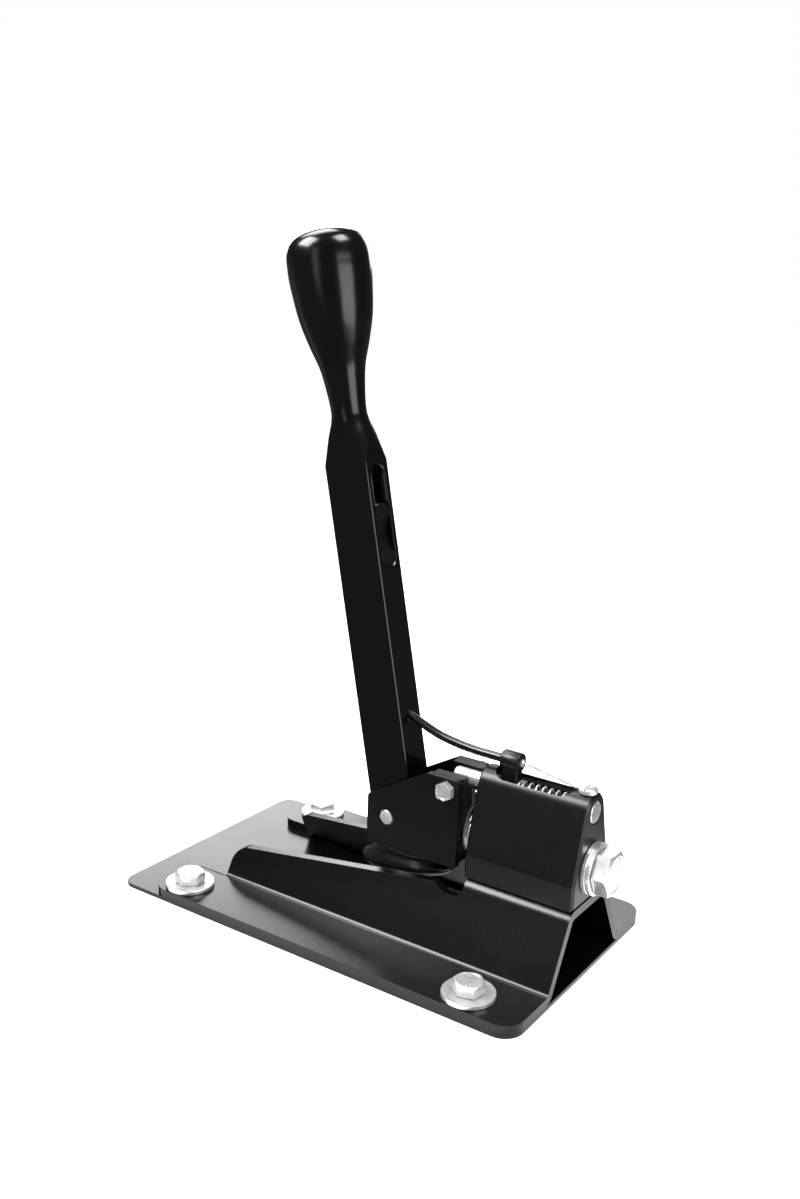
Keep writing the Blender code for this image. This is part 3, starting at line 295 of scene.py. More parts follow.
def drill(obj, radius, start, axis, depth, count=48):
    """A round hole from 1 mm before its start."""
    profile = [(0, -MM), (radius, -MM), (radius, 0), (radius, depth), (0, depth)]
    cut(obj, turned(profile, count), at(start, axis))


def shade(obj, angle=30):
    obj.data.shade_smooth()
    obj.data.set_sharp_from_angle(angle=math.radians(angle))


def dress(obj, slot, body, nodes, edge=0.0, angle=35, finish=None):
    """Softens the piece's edges, gives it its material (the slot's own, if none is named), hangs it
    under its body's empty and hides the CAD parts that it stands for."""
    if edge > 0:
        bevel = obj.modifiers.new("edges", "BEVEL")
        bevel.width = edge
        bevel.segments = 3
        bevel.limit_method = "ANGLE"
        bevel.angle_limit = math.radians(angle)
        bevel.harden_normals = True
    shade(obj)
    obj.data.materials.clear()
    obj.data.materials.append(FINISH[finish or slot])
    if body:
        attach(obj, body)
    if nodes:
        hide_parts(*nodes)


def show(node, bm, matrix, slot, body):
    """Makes and dresses the visible piece of one CAD node."""
    obj = solid(f"visual_{node}", bm, matrix)
    dress(obj, slot, body, [node])
    return obj


# Finishes

SURFACE = (("Roughness", "NodeSocketFloat"), ("Height", "NodeSocketFloat"))
COLOUR = (("Colour", "NodeSocketColor"),)
MIX_FACTOR, MIX_ENDS, MIX_RESULT = 0, (6, 7), 2   # the Mix node's sockets for colours


def new_group(name, inputs, outputs):
    """A shader node group, what comes in at its inputs, and its outputs; inputs are (name, default)."""
    group = bpy.data.node_groups.new(name, "ShaderNodeTree")
    for label, value in inputs:
        socket = group.interface.new_socket(label, in_out="INPUT", socket_type="NodeSocketFloat")
        socket.default_value = value
    for label, kind in outputs:
        group.interface.new_socket(label, in_out="OUTPUT", socket_type=kind)
    return group, group.nodes.new("NodeGroupInput").outputs, group.nodes.new("NodeGroupOutput").inputs


def feed(group, socket, value):
    """Sets the socket to a number, or links an output to it."""
    if isinstance(value, (int, float)):
        socket.default_value = value
    else:
        group.links.new(value, socket)


def noise(group, scale, detail, stretch=None):
    """A noise texture in object coordinates; scale is an output socket or a number."""
    coords = group.nodes.new("ShaderNodeTexCoord")
    vector = coords.outputs["Object"]
    if stretch:
        mapping = group.nodes.new("ShaderNodeMapping")
        mapping.inputs["Scale"].default_value = stretch
        group.links.new(vector, mapping.inputs["Vector"])
        vector = mapping.outputs["Vector"]
    texture = group.nodes.new("ShaderNodeTexNoise")
    texture.inputs["Detail"].default_value = detail
    group.links.new(vector, texture.inputs["Vector"])
    feed(group, texture.inputs["Scale"], scale)
    return texture.outputs["Fac"]


def mix_colours(group, given, made, amount, ends):
    """Gives the group a colour input for each end, with a grey as its default, and puts out their mix."""
    mix = group.nodes.new("ShaderNodeMix")
    mix.data_type = "RGBA"
    group.links.new(amount, mix.inputs[MIX_FACTOR])
    for slot, (label, grey) in zip(MIX_ENDS, ends):
        socket = group.interface.new_socket(label, in_out="INPUT", socket_type="NodeSocketColor")
        socket.default_value = (grey, grey, grey, 1)
        group.links.new(given[label], mix.inputs[slot])
    group.links.new(mix.outputs[MIX_RESULT], made["Colour"])


def math_node(group, operation, *values):
    node = group.nodes.new("ShaderNodeMath")
    node.operation = operation
    for socket, value in zip(node.inputs, values):
        feed(group, socket, value)
    return node.outputs["Value"]


def stretch_range(group, value, from_low, from_high, to_low, to_high):
    node = group.nodes.new("ShaderNodeMapRange")
    for label, number in (("Value", value), ("From Min", from_low), ("From Max", from_high),
                          ("To Min", to_low), ("To Max", to_high)):
        feed(group, node.inputs[label], number)
    return node.outputs["Result"]


def grain_group():
    """Fine pits and a cloudy sheen: powder coat, blasted and anodised aluminium, rubber."""
    group, given, made = new_group(
        "Fine grain",
        (("Grain Scale", 1500.0), ("Cloud Scale", 18.0), ("Roughness", 0.4), ("Spread", 0.1), ("Depth", 0.5)),
        SURFACE)
    fine = noise(group, given["Grain Scale"], 2.0)
    cloud = noise(group, given["Cloud Scale"], 4.0)
    swing = math_node(group, "MULTIPLY_ADD", cloud, given["Spread"], given["Roughness"])
    speck = math_node(group, "MULTIPLY", fine, math_node(group, "MULTIPLY", given["Spread"], 0.6))
    group.links.new(math_node(group, "ADD", swing, speck), made["Roughness"])
    group.links.new(math_node(group, "MULTIPLY", fine, given["Depth"]), made["Height"])
    return group


def speck_group():
    """Sparse light specks of dust or bare grains, as an amount of a lighter colour."""
    group, given, made = new_group(
        "Specks", (("Scale", 900.0), ("Threshold", 0.7), ("Strength", 0.4)), COLOUR)
    grains = noise(group, given["Scale"], 1.0)
    top = math_node(group, "ADD", given["Threshold"], 0.06)
    amount = stretch_range(group, grains, given["Threshold"], top, 0.0, given["Strength"])
    mix_colours(group, given, made, amount, (("Base", 0.01), ("Light", 0.3)))
    return group


def marks_group():
    """Faint long scratches and turning marks on plated metal, as roughness and height."""
    group, given, made = new_group(
        "Tool marks", (("Scale", 260.0), ("Roughness", 0.2), ("Spread", 0.2), ("Depth", 0.3)),
        SURFACE)
    lines = noise(group, given["Scale"], 3.0, stretch=(1.0, 9.0, 1.0))
    blots = noise(group, 160.0, 3.0)
    both = math_node(group, "MULTIPLY", lines, blots)
    dull = math_node(group, "MULTIPLY_ADD", both, given["Spread"], given["Roughness"])
    group.links.new(dull, made["Roughness"])
    group.links.new(math_node(group, "MULTIPLY", lines, given["Depth"]), made["Height"])
    return group


def wear_group():
    """A metal's colour, dulled in blots."""
    group, given, made = new_group(
        "Dulling", (("Scale", 90.0), ("Amount", 0.3)), COLOUR)
    blots = noise(group, given["Scale"], 5.0)
    amount = stretch_range(group, blots, 0.42, 0.68, 0.0, given["Amount"])
    mix_colours(group, given, made, amount, (("Bright", 0.8), ("Dull", 0.5)))
    return group


def use_group(material, group, values, output, socket, bump=0.0):
    """Adds the group to the material, with a value for each input in its order, and links one output."""
    tree = material.node_tree
    shader = tree.nodes["Principled BSDF"]
    node = tree.nodes.new("ShaderNodeGroup")
    node.node_tree = group
    for given, value in zip(node.inputs, values):
        given.default_value = value
    tree.links.new(node.outputs[output], shader.inputs[socket])
    if bump > 0:
        relief = tree.nodes.new("ShaderNodeBump")
        relief.inputs["Strength"].default_value = bump
        relief.inputs["Distance"].default_value = 0.05 * MM
        tree.links.new(node.outputs["Height"], relief.inputs["Height"])
        tree.links.new(relief.outputs["Normal"], shader.inputs["Normal"])


def base_material(name, colour, metallic, specular, coat=0.0, coat_roughness=0.1):
    material = bpy.data.materials.new(name)
    material.use_nodes = True
    shader = material.node_tree.nodes["Principled BSDF"]
    shader.inputs["Base Color"].default_value = (*colour, 1)
    shader.inputs["Metallic"].default_value = metallic
    shader.inputs["Specular IOR Level"].default_value = specular
    shader.inputs["Coat Weight"].default_value = coat
    shader.inputs["Coat Roughness"].default_value = coat_roughness
    return material


FINISH = {}


def make_finishes(settings):
    grain, specks, marks, wear = grain_group(), speck_group(), marks_group(), wear_group()
    black = settings.black
    plain = (black, black, black)
    dark = (black, black, black * 1.15)
    bluish = (black * 1.1, black * 1.15, black * 1.45)
    # name; colour, metallic, specular, coat and its roughness; surface, its inputs and bump
    looks = (
        ("coated", (dark, 0.0, 0.45), grain, (1300, 18, 0.17, 0.10, 0.6), 0.08),
        ("side_plate", (dark, 0.0, 0.30), grain, (1600, 18, 0.30, 0.12, 0.4), 0.06),
        ("anodised", (bluish, 0.0, 0.50), grain, (2200, 30, 0.25, 0.10, 0.8), 0.16),
        ("gloss", (dark, 0.0, 0.45, 0.1, 0.1), grain, (900, 12, 0.17, 0.05, 0.2), 0.02),
        ("zinc", ((0.86, 0.86, 0.86), 0.82, 0.5), marks, (240, 0.20, 0.35, 0.5), 0.12),
        ("steel", ((0.60, 0.60, 0.61), 0.9, 0.5), marks, (420, 0.22, 0.25, 0.3), 0.08),
        ("bronze", ((0.45, 0.32, 0.18), 1.0, 0.5), grain, (2600, 18, 0.36, 0.2, 0.8), 0.2),
        ("rubber", (plain, 0.0, 0.5, 0.6, 0.08), grain, (700, 60, 0.16, 0.2, 0.5), 0.08),
        ("plastic", (plain, 0.0, 0.5, 0.2, 0.1), grain, (500, 80, 0.16, 0.12, 0.2), 0.03),
    )
    for name, base, surface, values, bump in looks:
        FINISH[name] = base_material(name, *base)
        use_group(FINISH[name], surface, values, "Roughness", "Roughness", bump)
    # name; what colours it and its inputs
    colours = (
        ("coated", specks, (1100, 0.75, 0.25, (*dark, 1), (0.08, 0.08, 0.08, 1))),
        ("anodised", specks, (2400, 0.66, 0.30, (*bluish, 1), (0.05, 0.055, 0.07, 1))),
        ("zinc", wear, (170, 0.55, (0.80, 0.80, 0.81, 1), (0.48, 0.48, 0.50, 1))),
    )
    for name, group, values in colours:
        use_group(FINISH[name], group, values, "Colour", "Base Color")


# Settings

class SHIFTER_PG_settings(bpy.types.PropertyGroup):
    """Sizes and strengths that the pieces, finishes and stage are built with."""

    plate_corner: FloatProperty(
        name="Plate corner", description="Radius of the base plate's corners",
        default=0.010, min=0.001, unit="LENGTH")
    rear_corner: FloatProperty(
        name="Rear corner", description="Radius of the base plate's rear corners",
        default=0.007, min=0.001, unit="LENGTH")
    window_corner: FloatProperty(
        name="Window corner", description="Radius of the window's corners",
        default=0.006, min=0.001, unit="LENGTH")
    sheet: FloatProperty(
        name="Sheet", description="Thickness of the bent bracket's sheet",
        default=0.004, min=0.001, unit="LENGTH")
    bend: FloatProperty(
        name="Bend", description="Inner radius of the bracket's bends",
        default=0.003, min=0.0005, unit="LENGTH")
    edge: FloatProperty(
        name="Edge", description="Width of the softened edges on sheet and milled pieces",
        default=0.00035, min=0.0, unit="LENGTH")
    turned_detail: IntProperty(
        name="Turned detail", description="Sides of the turned lever",
        default=96, min=24)
    black: FloatProperty(
        name="Black", description="Brightness of the black finishes",
        default=0.0012, min=0.0, max=1.0)
    lens: FloatProperty(name="Lens", description="Focal length on a 36 mm high sensor", default=37.1, min=1.0)
    camera_at: FloatVectorProperty(
        name="Camera at", description="Place of the camera", size=3,
        default=(0.31023, -0.46471, 0.30137), subtype="TRANSLATION", unit="LENGTH")
    camera_turn: FloatProperty(
        name="Camera turn", description="Compass turn of the camera to the left of +Y",
        default=math.radians(33.71), subtype="ANGLE", unit="ROTATION")
    camera_dip: FloatProperty(
        name="Camera dip", description="How far the camera looks down",
        default=math.radians(14.49), subtype="ANGLE", unit="ROTATION")
    camera_roll: FloatProperty(
        name="Camera roll", description="Roll of the camera about its own axis",
        default=math.radians(2.1), subtype="ANGLE", unit="ROTATION")
    top_power: FloatProperty(
        name="Top lights", description="Power of the boxes overhead",
        default=18.0, min=0.0, unit="POWER")
    side_power: FloatProperty(
        name="Side lights", description="Power of the boxes beside the camera",
        default=6.0, min=0.0, unit="POWER")
    back_power: FloatProperty(
        name="Back lights", description="Power of the low boxes behind the object",
        default=1.6, min=0.0, unit="POWER")
    # Strength of the floor's painted glow, which only reflections show
    sheen: FloatProperty(
        name="Floor sheen", description="Brightness of the lit floor in reflections",
        default=2.2, min=0.0)


def settings_of(context):
    return context.scene.shifter


# Pieces

def sheet_outline(path, thickness, bend):
    normals = []
    for a, b in zip(path, path[1:]):
        run = (b - a).normalized()
        normals.append(Vector((-run.y, run.x)))
    sides = []
    for sign in (1, -1):
        side = []
        for i, corner in enumerate(path):
            before = normals[max(i - 1, 0)]
            after = normals[min(i, len(normals) - 1)]
            shift = (before + after) / (1 + before.dot(after)) * sign * thickness / 2
            turn = before.cross(after)
            radius = 0.0
            if abs(turn) > 1e-6:
                radius = bend if turn * sign > 0 else bend + thickness
            side.append((*(corner + shift), radius))
        sides.append(side)
    return rounded(sides[0] + sides[1][::-1], steps=10)


class SHIFTER_OT_base(bpy.types.Operator):
    """The base plate and the bent bracket on it"""

    bl_idname = "shifter.base"
    bl_label = "Base plate and bracket"

    def execute(self, context):
        s = settings_of(context)
        rear, front = span("base_plate", "x")
        half = high("base_plate", "y")
        top = high("base_plate", "z")
        outline = rounded([(rear, -half, s.rear_corner), (front, -half, s.plate_corner),
                           (front, half, s.plate_corner), (rear, half, s.rear_corner)], 12)
        plate = solid("visual_base_plate", prism(outline, "Z", 0, top))
        window = rectangle(rear + 85 * MM, -30 * MM, rear + 165 * MM, 30 * MM, s.window_corner, 10)
        cut(plate, prism(window, "Z", -top, 2 * top))
        for spot in four("flange_bolt"):
            drill(plate, BOLT_HOLE, (spot.x, spot.y, -top), "Z", 3 * top)
        dress(plate, "coated", "base", ["base_plate"], s.edge * 0.8)
        self.bracket(s)
        return {"FINISHED"}

    def bracket(self, s):
        rear, front = span("hat_bracket", "x")
        floor, top = span("hat_bracket", "z")
        half = high("hat_bracket", "y")
        over = s.plate_corner
        foot, crown = 33.9 * MM, 16.4 * MM
        under, upper = floor + s.sheet / 2, top - s.sheet / 2
        path = [Vector(p) for p in ((-half - over, under), (-foot, under), (-crown, upper),
                                    (crown, upper), (foot, under), (half + over, under))]
        section = sheet_outline(path, s.sheet, s.bend)
        hat = solid("visual_hat_bracket", prism(section, "X", rear - over, front + over))
        plan = rectangle(rear, -half, front, half, s.plate_corner, 12)
        cut(hat, prism(plan, "Z", 0, top + over), operation="INTERSECT")
        inner = foot + s.sheet / 2
        wall = front - 183 * MM
        crown_rear = front - 53.4 * MM
        flange_top = floor + s.sheet
        front_height = flange_top + 27 * MM
        notch = front_height - 3.2 * MM
        above = top + over
        removed = rounded([
            (rear - 2 * over, above, 0), (rear - 2 * over, -over, 0), (wall, -over, 0),
            (wall, flange_top + 13.2 * MM, 8 * MM), (crown_rear - 15 * MM, front_height, 3 * MM),
            (crown_rear - 9 * MM, notch, 3 * MM), (crown_rear - 1.8 * MM, notch, 3.4 * MM),
            (crown_rear, top - s.sheet, 2 * MM), (crown_rear, above, 0)], 8)
        cut(hat, prism(removed, "Y", -inner, inner))
        tab = 9 * MM
        for sign in (-1, 1):
            corner = Vector((rear + tab, sign * (inner + tab)))
            spandrel = [corner + tab * Vector((-math.cos(a), -sign * math.sin(a)))
                        for a in (math.pi / 2 * k / 12 for k in range(13))]
            spandrel += [Vector((corner.x, sign * (inner - MM))), Vector((rear - MM, sign * (inner - MM))),
                         Vector((rear - MM, corner.y))]
            cut(hat, prism(spandrel, "Z", 0, top))
        for bolt, spot in zip(four("flange_bolt"), four("block_screw")):
            drill(hat, BOLT_HOLE, (bolt.x, bolt.y, 0), "Z", 2 * flange_top)
            drill(hat, SCREW_HOLE, (spot.x, spot.y, top - 2 * s.sheet), "Z", 3 * s.sheet)
        dress(hat, "coated", "base", ["hat_bracket"], s.edge)


class SHIFTER_OT_block(bpy.types.Operator):
    """The gate block with its bores and slot"""

    bl_idname = "shifter.block"
    bl_label = "Gate block"

    def execute(self, context):
        s = settings_of(context)
        rear, front = span("gate_block", "x")
        floor, top = span("gate_block", "z")
        half = high("gate_block", "y")
        kink = floor + 11.8 * MM
        crown = 6.9 * MM
        outline = rounded([(-half, floor, 0), (half, floor, 0), (half, kink, 6 * MM), (crown, top, 7.8 * MM),
                           (-crown, top, 7.8 * MM), (-half, kink, 6 * MM)], 16)
        chamfer = 1.2 * MM
        small = inset(outline, chamfer)
        sections = ((small, rear), (outline, rear + chamfer), (outline, front - chamfer), (small, front))
        block = solid("visual_gate_block", loft(
            [[Vector((x, u, v)) for u, v in shape] for shape, x in sections]))
        over = 2 * MM
        bush = size("main_bush_rear", "y") / 2 + 0.2 * MM
        drill(block, bush, (rear - over, 0, AXIS_Z), "X", front - rear + 2 * over, 64)
        guide = 4.7 * MM
        wide = 5.6 * MM
        step = over + 6.2 * MM
        end = front - rear + 2 * over
        bore = turned([(0, 0), (guide, 0), (guide, step), (wide, step), (wide, end), (0, end)], 64)
        cut(block, bore, at((rear - over, 0, LOCK_Z), "X"))
        slot_rear = middle("cable_post").x - 7.4 * MM
        slot = rectangle(slot_rear, -6.8 * MM, slot_rear + 40.4 * MM, 6.8 * MM, 6.66 * MM, 14)
        cut(block, prism(slot, "Z", LOCK_Z + 4.2 * MM, top + over))
        anchor = middle("anchor_screw")
        drill(block, 2 * MM, (anchor.x, 0, top - 2.3 * MM), "Z", 5 * MM, 32)
        drill(block, DOWEL_HOLE, (rear - over, 0, middle("block_spring_pin").z), "X", over + 4.3 * MM, 24)
        for spot in four("block_screw"):
            drill(block, SCREW_HOLE, (spot.x, spot.y, floor - over), "Z", over + 7.3 * MM, 24)
        dress(block, "anodised", "base", ["gate_block"], s.edge * 1.3)
        return {"FINISHED"}


def bolt_mesh(shank, flats, head, length, count=96):
    """A hexagon bolt along Z: a washer face, six flats, a chamfered top and a shallow dish."""
    top = flats * 0.455
    slope = math.tan(math.radians(27))
    face = 0.35 * MM
    edge = 0.25 * MM
    return loft([
        ring(shank - edge, -length, count), ring(shank, -length + edge, count), ring(shank, 0, count),
        ring(top, 0, count), ring(top, face, count),
        hexagon(flats, lambda r: face, count),
        hexagon(flats, lambda r: head - (r - top) * slope, count),
        ring(top, head, count), ring(top - edge, head, count), ring(top - 2 * edge, head - edge, count),
    ])


class SHIFTER_OT_fasteners(bpy.types.Operator):
    """Bolts, washers, the carrier's screws and dowels, and the pivot pin"""

    bl_idname = "shifter.fasteners"
    bl_label = "Fasteners"

    turns = (12, 31, 47, 22)   # degrees that each flange bolt's head is turned by

    def washer(self, node, hole, axis, body):
        place = middle(node)
        thick = size(node, "x" if axis == "X" else "z")
        radius = size(node, "y") / 2
        bm = tube(hole, radius, -thick / 2, thick / 2, 0.25 * MM, 96)
        show(node, bm, at(place, axis), "zinc", body)

    def execute(self, context):
        for i in range(4):
            washer, bolt = f"flange_washer_{i + 1}", f"flange_bolt_{i + 1}"
            self.washer(washer, BOLT_HOLE, "Z", "base")
            spot = middle(bolt)
            seat = high(washer, "z") + SEAT
            bm = bolt_mesh(4 * MM, 13 * MM, high(bolt, "z") - seat, seat - low(bolt, "z"))
            bm.transform(Matrix.Rotation(math.radians(self.turns[i]), 4, "Z"))
            show(bolt, bm, at((spot.x, spot.y, seat)), "zinc", "base")
        for node in ("main_washer_1", "main_washer_2", "hub_washer"):
            self.washer(node, MAIN_HOLE, "X", "carrier")
        seat = high("main_washer_2", "x") + SEAT
        bm = bolt_mesh(6 * MM, 19 * MM, high("main_bolt", "x") - seat, seat - low("main_bolt", "x"))
        show("main_bolt", bm, at((seat, 0, AXIS_Z), "X"), "zinc", "carrier")
        for tag, sign in SIDES:
            node = f"plate_screw_{tag}"
            spot = middle(node)
            plate = high("side_plate_far", "y") + SEAT
            inner, outer = faces(node)
            bm = bolt_mesh(2.5 * MM, 8 * MM, outer - plate, plate - inner, 72)
            show(node, bm, at((spot.x, sign * plate, spot.z), outwards(sign)), "zinc", "carrier")
            node = f"plate_dowel_{tag}"
            spot = middle(node)
            length = size(node, "y")
            bm = turned([(0, 0), (1.5 * MM, 0), (1.5 * MM, length - 0.5 * MM), (1.35 * MM, length - 0.2 * MM),
                         (1.0 * MM, length), (0, length)], 32)
            start = sign * (faces(node)[1] - length)
            show(node, bm, at((spot.x, start, spot.z), outwards(sign)), "steel", "carrier")
        half = size("pivot_pin", "y") / 2
        radius, chamfer, dish = 4 * MM, 0.7 * MM, 0.5 * MM
        flat, rim = 3.3 * MM, 2.9 * MM
        pin = turned([(0, dish - half), (rim, -half), (flat, -half), (radius, chamfer - half),
                      (radius, half - chamfer), (flat, half), (rim, half), (0, half - dish)], 64)
        show("pivot_pin", pin, at(PIVOT, "Y"), "zinc", "carrier")
        return {"FINISHED"}


class SHIFTER_OT_carrier(bpy.types.Operator):
    """The carrier's two side plates and the yoke block between them"""

    bl_idname = "shifter.carrier"
    bl_label = "Carrier"

    def execute(self, context):
        s = settings_of(context)
        rear, front = span("side_plate_near", "x")
        floor, top = span("side_plate_near", "z")
        outline = rounded([(rear, floor, 1.5 * MM), (front, floor, MM), (front, top, 2 * MM),
                           (front - 17 * MM, top, 3 * MM), (rear, floor + 24 * MM, 2 * MM)], 8)
        holes = (("screw", SCREW_HOLE), ("dowel", DOWEL_HOLE))
        for tag, _ in SIDES:
            node = f"side_plate_{tag}"
            plate = solid(f"visual_{node}", prism(outline, "Y", *span(node, "y")))
            start = low(node, "y") - MM
            depth = size(node, "y") + 2 * MM
            drill(plate, BOLT_HOLE, (PIVOT.x, start, AXIS_Z), "Y", depth, 64)
            for small, radius in holes:
                spot = middle(f"plate_{small}_{tag}")
                drill(plate, radius, (spot.x, start, spot.z), "Y", depth, 32)
            dress(plate, "coated", "carrier", [node], s.edge, finish="side_plate")
        rear, front = span("carrier_yoke", "x")
        floor, top = span("carrier_yoke", "z")
        half = high("carrier_yoke", "y")
        groove = 6.3 * MM
        depth = LOCK_Z - 4.4 * MM
        outline = rounded([(-half, floor, 0), (half, floor, 0), (half, top, 0), (groove, top, 0),
                           (groove, depth, 1.5 * MM), (-groove, depth, 1.5 * MM),
                           (-groove, top, 0), (-half, top, 0)], 6)
        yoke = solid("visual_carrier_yoke", prism(outline, "X", rear, front))
        drill(yoke, MAIN_HOLE, (rear - MM, 0, AXIS_Z), "X", front - rear + 2 * MM, 64)
        pin = middle("carrier_spring_pin")
        drill(yoke, DOWEL_HOLE, (low("carrier_spring_pin", "x") - SEAT, 0, pin.z), "X", 10 * MM, 24)
        for tag, sign in SIDES:
            for small, radius in holes:
                node = f"plate_{small}_{tag}"
                spot = middle(node)
                inner = faces(node)[0] - SEAT
                drill(yoke, radius, (spot.x, sign * inner, spot.z), outwards(sign), 12 * MM, 32)
        dress(yoke, "anodised", "carrier", ["carrier_yoke"], s.edge)
        return {"FINISHED"}


class SHIFTER_OT_lever(bpy.types.Operator):
    """The knob, neck, bar and foot from one turned blank, and the finger trigger in its pocket"""

    bl_idname = "shifter.lever"
    bl_label = "Lever and trigger"

    # Along the lever from the pivot, across it, and radii
    bar = 168 * MM
    neck_at = bar + 25 * MM
    eye_at = -42.5 * MM
    depth = 24 * MM
    width = 17 * MM
    neck = 8.3 * MM
    knob = 19 * MM
    dome = 23.4 * MM
    shank = 7.8 * MM
    eye = 8.5 * MM
    front = depth / 2
    pocket_at = bar - 50 * MM
    pocket_long = 48 * MM
    pocket_wide = 11 * MM
    pocket_floor = front - 9 * MM
    rod_ahead = front - 6 * MM
    # Shares of the radius and of the dome's height over the knob's widest place
    crown = ((1.01, 0.32), (1, 0.52), (0.96, 0.67), (0.88, 0.79), (0.75, 0.88), (0.55, 0.95), (0.29, 0.99))

    def profile(self):
        blank = math.hypot(self.depth / 2, self.width / 2) - 0.25 * MM
        neck, knob, start = self.neck, self.knob, self.neck_at
        widest = start + 58 * MM
        shape = [Vector(p) for p in (
            (blank, self.bar), (blank * 0.90, self.bar + 5.5 * MM), (neck * 1.33, self.bar + 13 * MM),
            (neck * 1.06, self.bar + 20 * MM), (neck, start), (neck * 1.08, start + 8.1 * MM),
            (knob * 0.56, start + 19.1 * MM), (knob * 0.74, start + 30.2 * MM),
            (knob * 0.90, start + 42.3 * MM), (knob, widest),
            *((knob * wide, widest + self.dome * tall) for wide, tall in self.crown),
            (0.4 * MM, widest + self.dome))]
        cone = (blank - self.shank) * 0.85
        bottom = self.eye_at - 2.5 * MM
        return [(0, bottom), (self.shank, bottom), (self.shank, -9 * MM - cone), (blank, -9 * MM),
                *[tuple(p) for p in smooth(shape, 9)], (0, widest + self.dome)]

    def execute(self, context):
        s = settings_of(context)
        lever = solid("visual_lever", turned(self.profile(), s.turned_detail))
        far = 40 * MM
        foot = -60 * MM
        for sign in (-1, 1):
            u0, u1 = sorted((sign * self.depth / 2, sign * far))
            cut(lever, prism(rectangle(u0, -far, u1, far), "Z", foot, self.neck_at))
            v0, v1 = sorted((sign * self.width / 2, sign * far))
            cut(lever, prism(rectangle(-far, v0, far, v1), "Z", foot, self.neck_at))
        half = 7 * MM
        cut(lever, rod(self.eye, 2 * half, 64, -half), at((0, 0, self.eye_at), "Y"), "UNION")
        for sign in (-1, 1):
            v0, v1 = sorted((sign * half, sign * far))
            cut(lever, prism(rectangle(-far, v0, far, v1), "Z", foot, self.eye_at + self.eye))
        for radius, height in ((5.8 * MM, self.eye_at), (6.2 * MM, 0)):
            cut(lever, rod(radius, 2 * far, 48), at((0, -far, height), "Y"))
        self.pocket(lever)
        start = Vector(CABLE["inside"]) - 0.4 * MM * CABLE["run"]
        tilt = CABLE["run"].to_track_quat("Z", "Y").to_matrix().to_4x4()
        hole = turned([(0, 0), (2.2 * MM, 0), (2.2 * MM, 3.4 * MM), (2.9 * MM, 5.2 * MM),
                       (2.9 * MM, 12 * MM), (0, 12 * MM)], 32)
        cut(lever, hole, LEVER_FRAME.inverted() @ Matrix.Translation(start) @ tilt)
        lever.data.transform(LEVER_FRAME)
        dress(lever, "gloss", "shift_lever", ["lever"])
        self.trigger()
        return {"FINISHED"}

    def pocket(self, lever):
        """The trigger's pocket, its edges eased at the floor and the mouth, and the bore for its rod."""
        half, floor, front = self.pocket_wide / 2, self.pocket_floor, self.front
        rings = []
        start, end = self.pocket_at, self.pocket_at + self.pocket_long
        ease = 0.5 * MM
        for x, g in ((floor, -0.5 * MM), (floor + ease, 0.0), (front - ease, 0.0),
                     (front + 0.2 * MM, 0.7 * MM)):
            outline = rectangle(-half - g, start - g, half + g, end + g, (half + g) * 0.98, 12)
            rings.append([Vector((x, u, v)) for u, v in outline])
        cut(lever, loft(rings))
        cut(lever, rod(1.8 * MM, 55 * MM, 24), at((self.rod_ahead, 0, self.pocket_at - 3.5 * MM)))

    def trigger(self):
        half = self.pocket_wide / 2 - RUN
        start = self.pocket_at + RUN
        back, face = self.pocket_floor + RUN, self.front - 0.4 * MM
        long = 30 * MM
        grip = 15 * MM
        outline = rectangle(-half, start, half, start + long, half * 0.98, 12)
        body = solid("visual_trigger", prism(outline, "X", back, face))
        reach = face + grip - 3 * MM
        cut(body, rod(grip, 22 * MM, 96), at((reach, -11 * MM, start + long / 2), "Y"))
        cut(body, rod(1.9 * MM, long + 2 * MM, 32), at((self.rod_ahead, 0, start - MM)))
        body.data.transform(LEVER_FRAME)
        dress(body, "anodised", "finger_trigger", ["trigger"], 0.4 * MM)


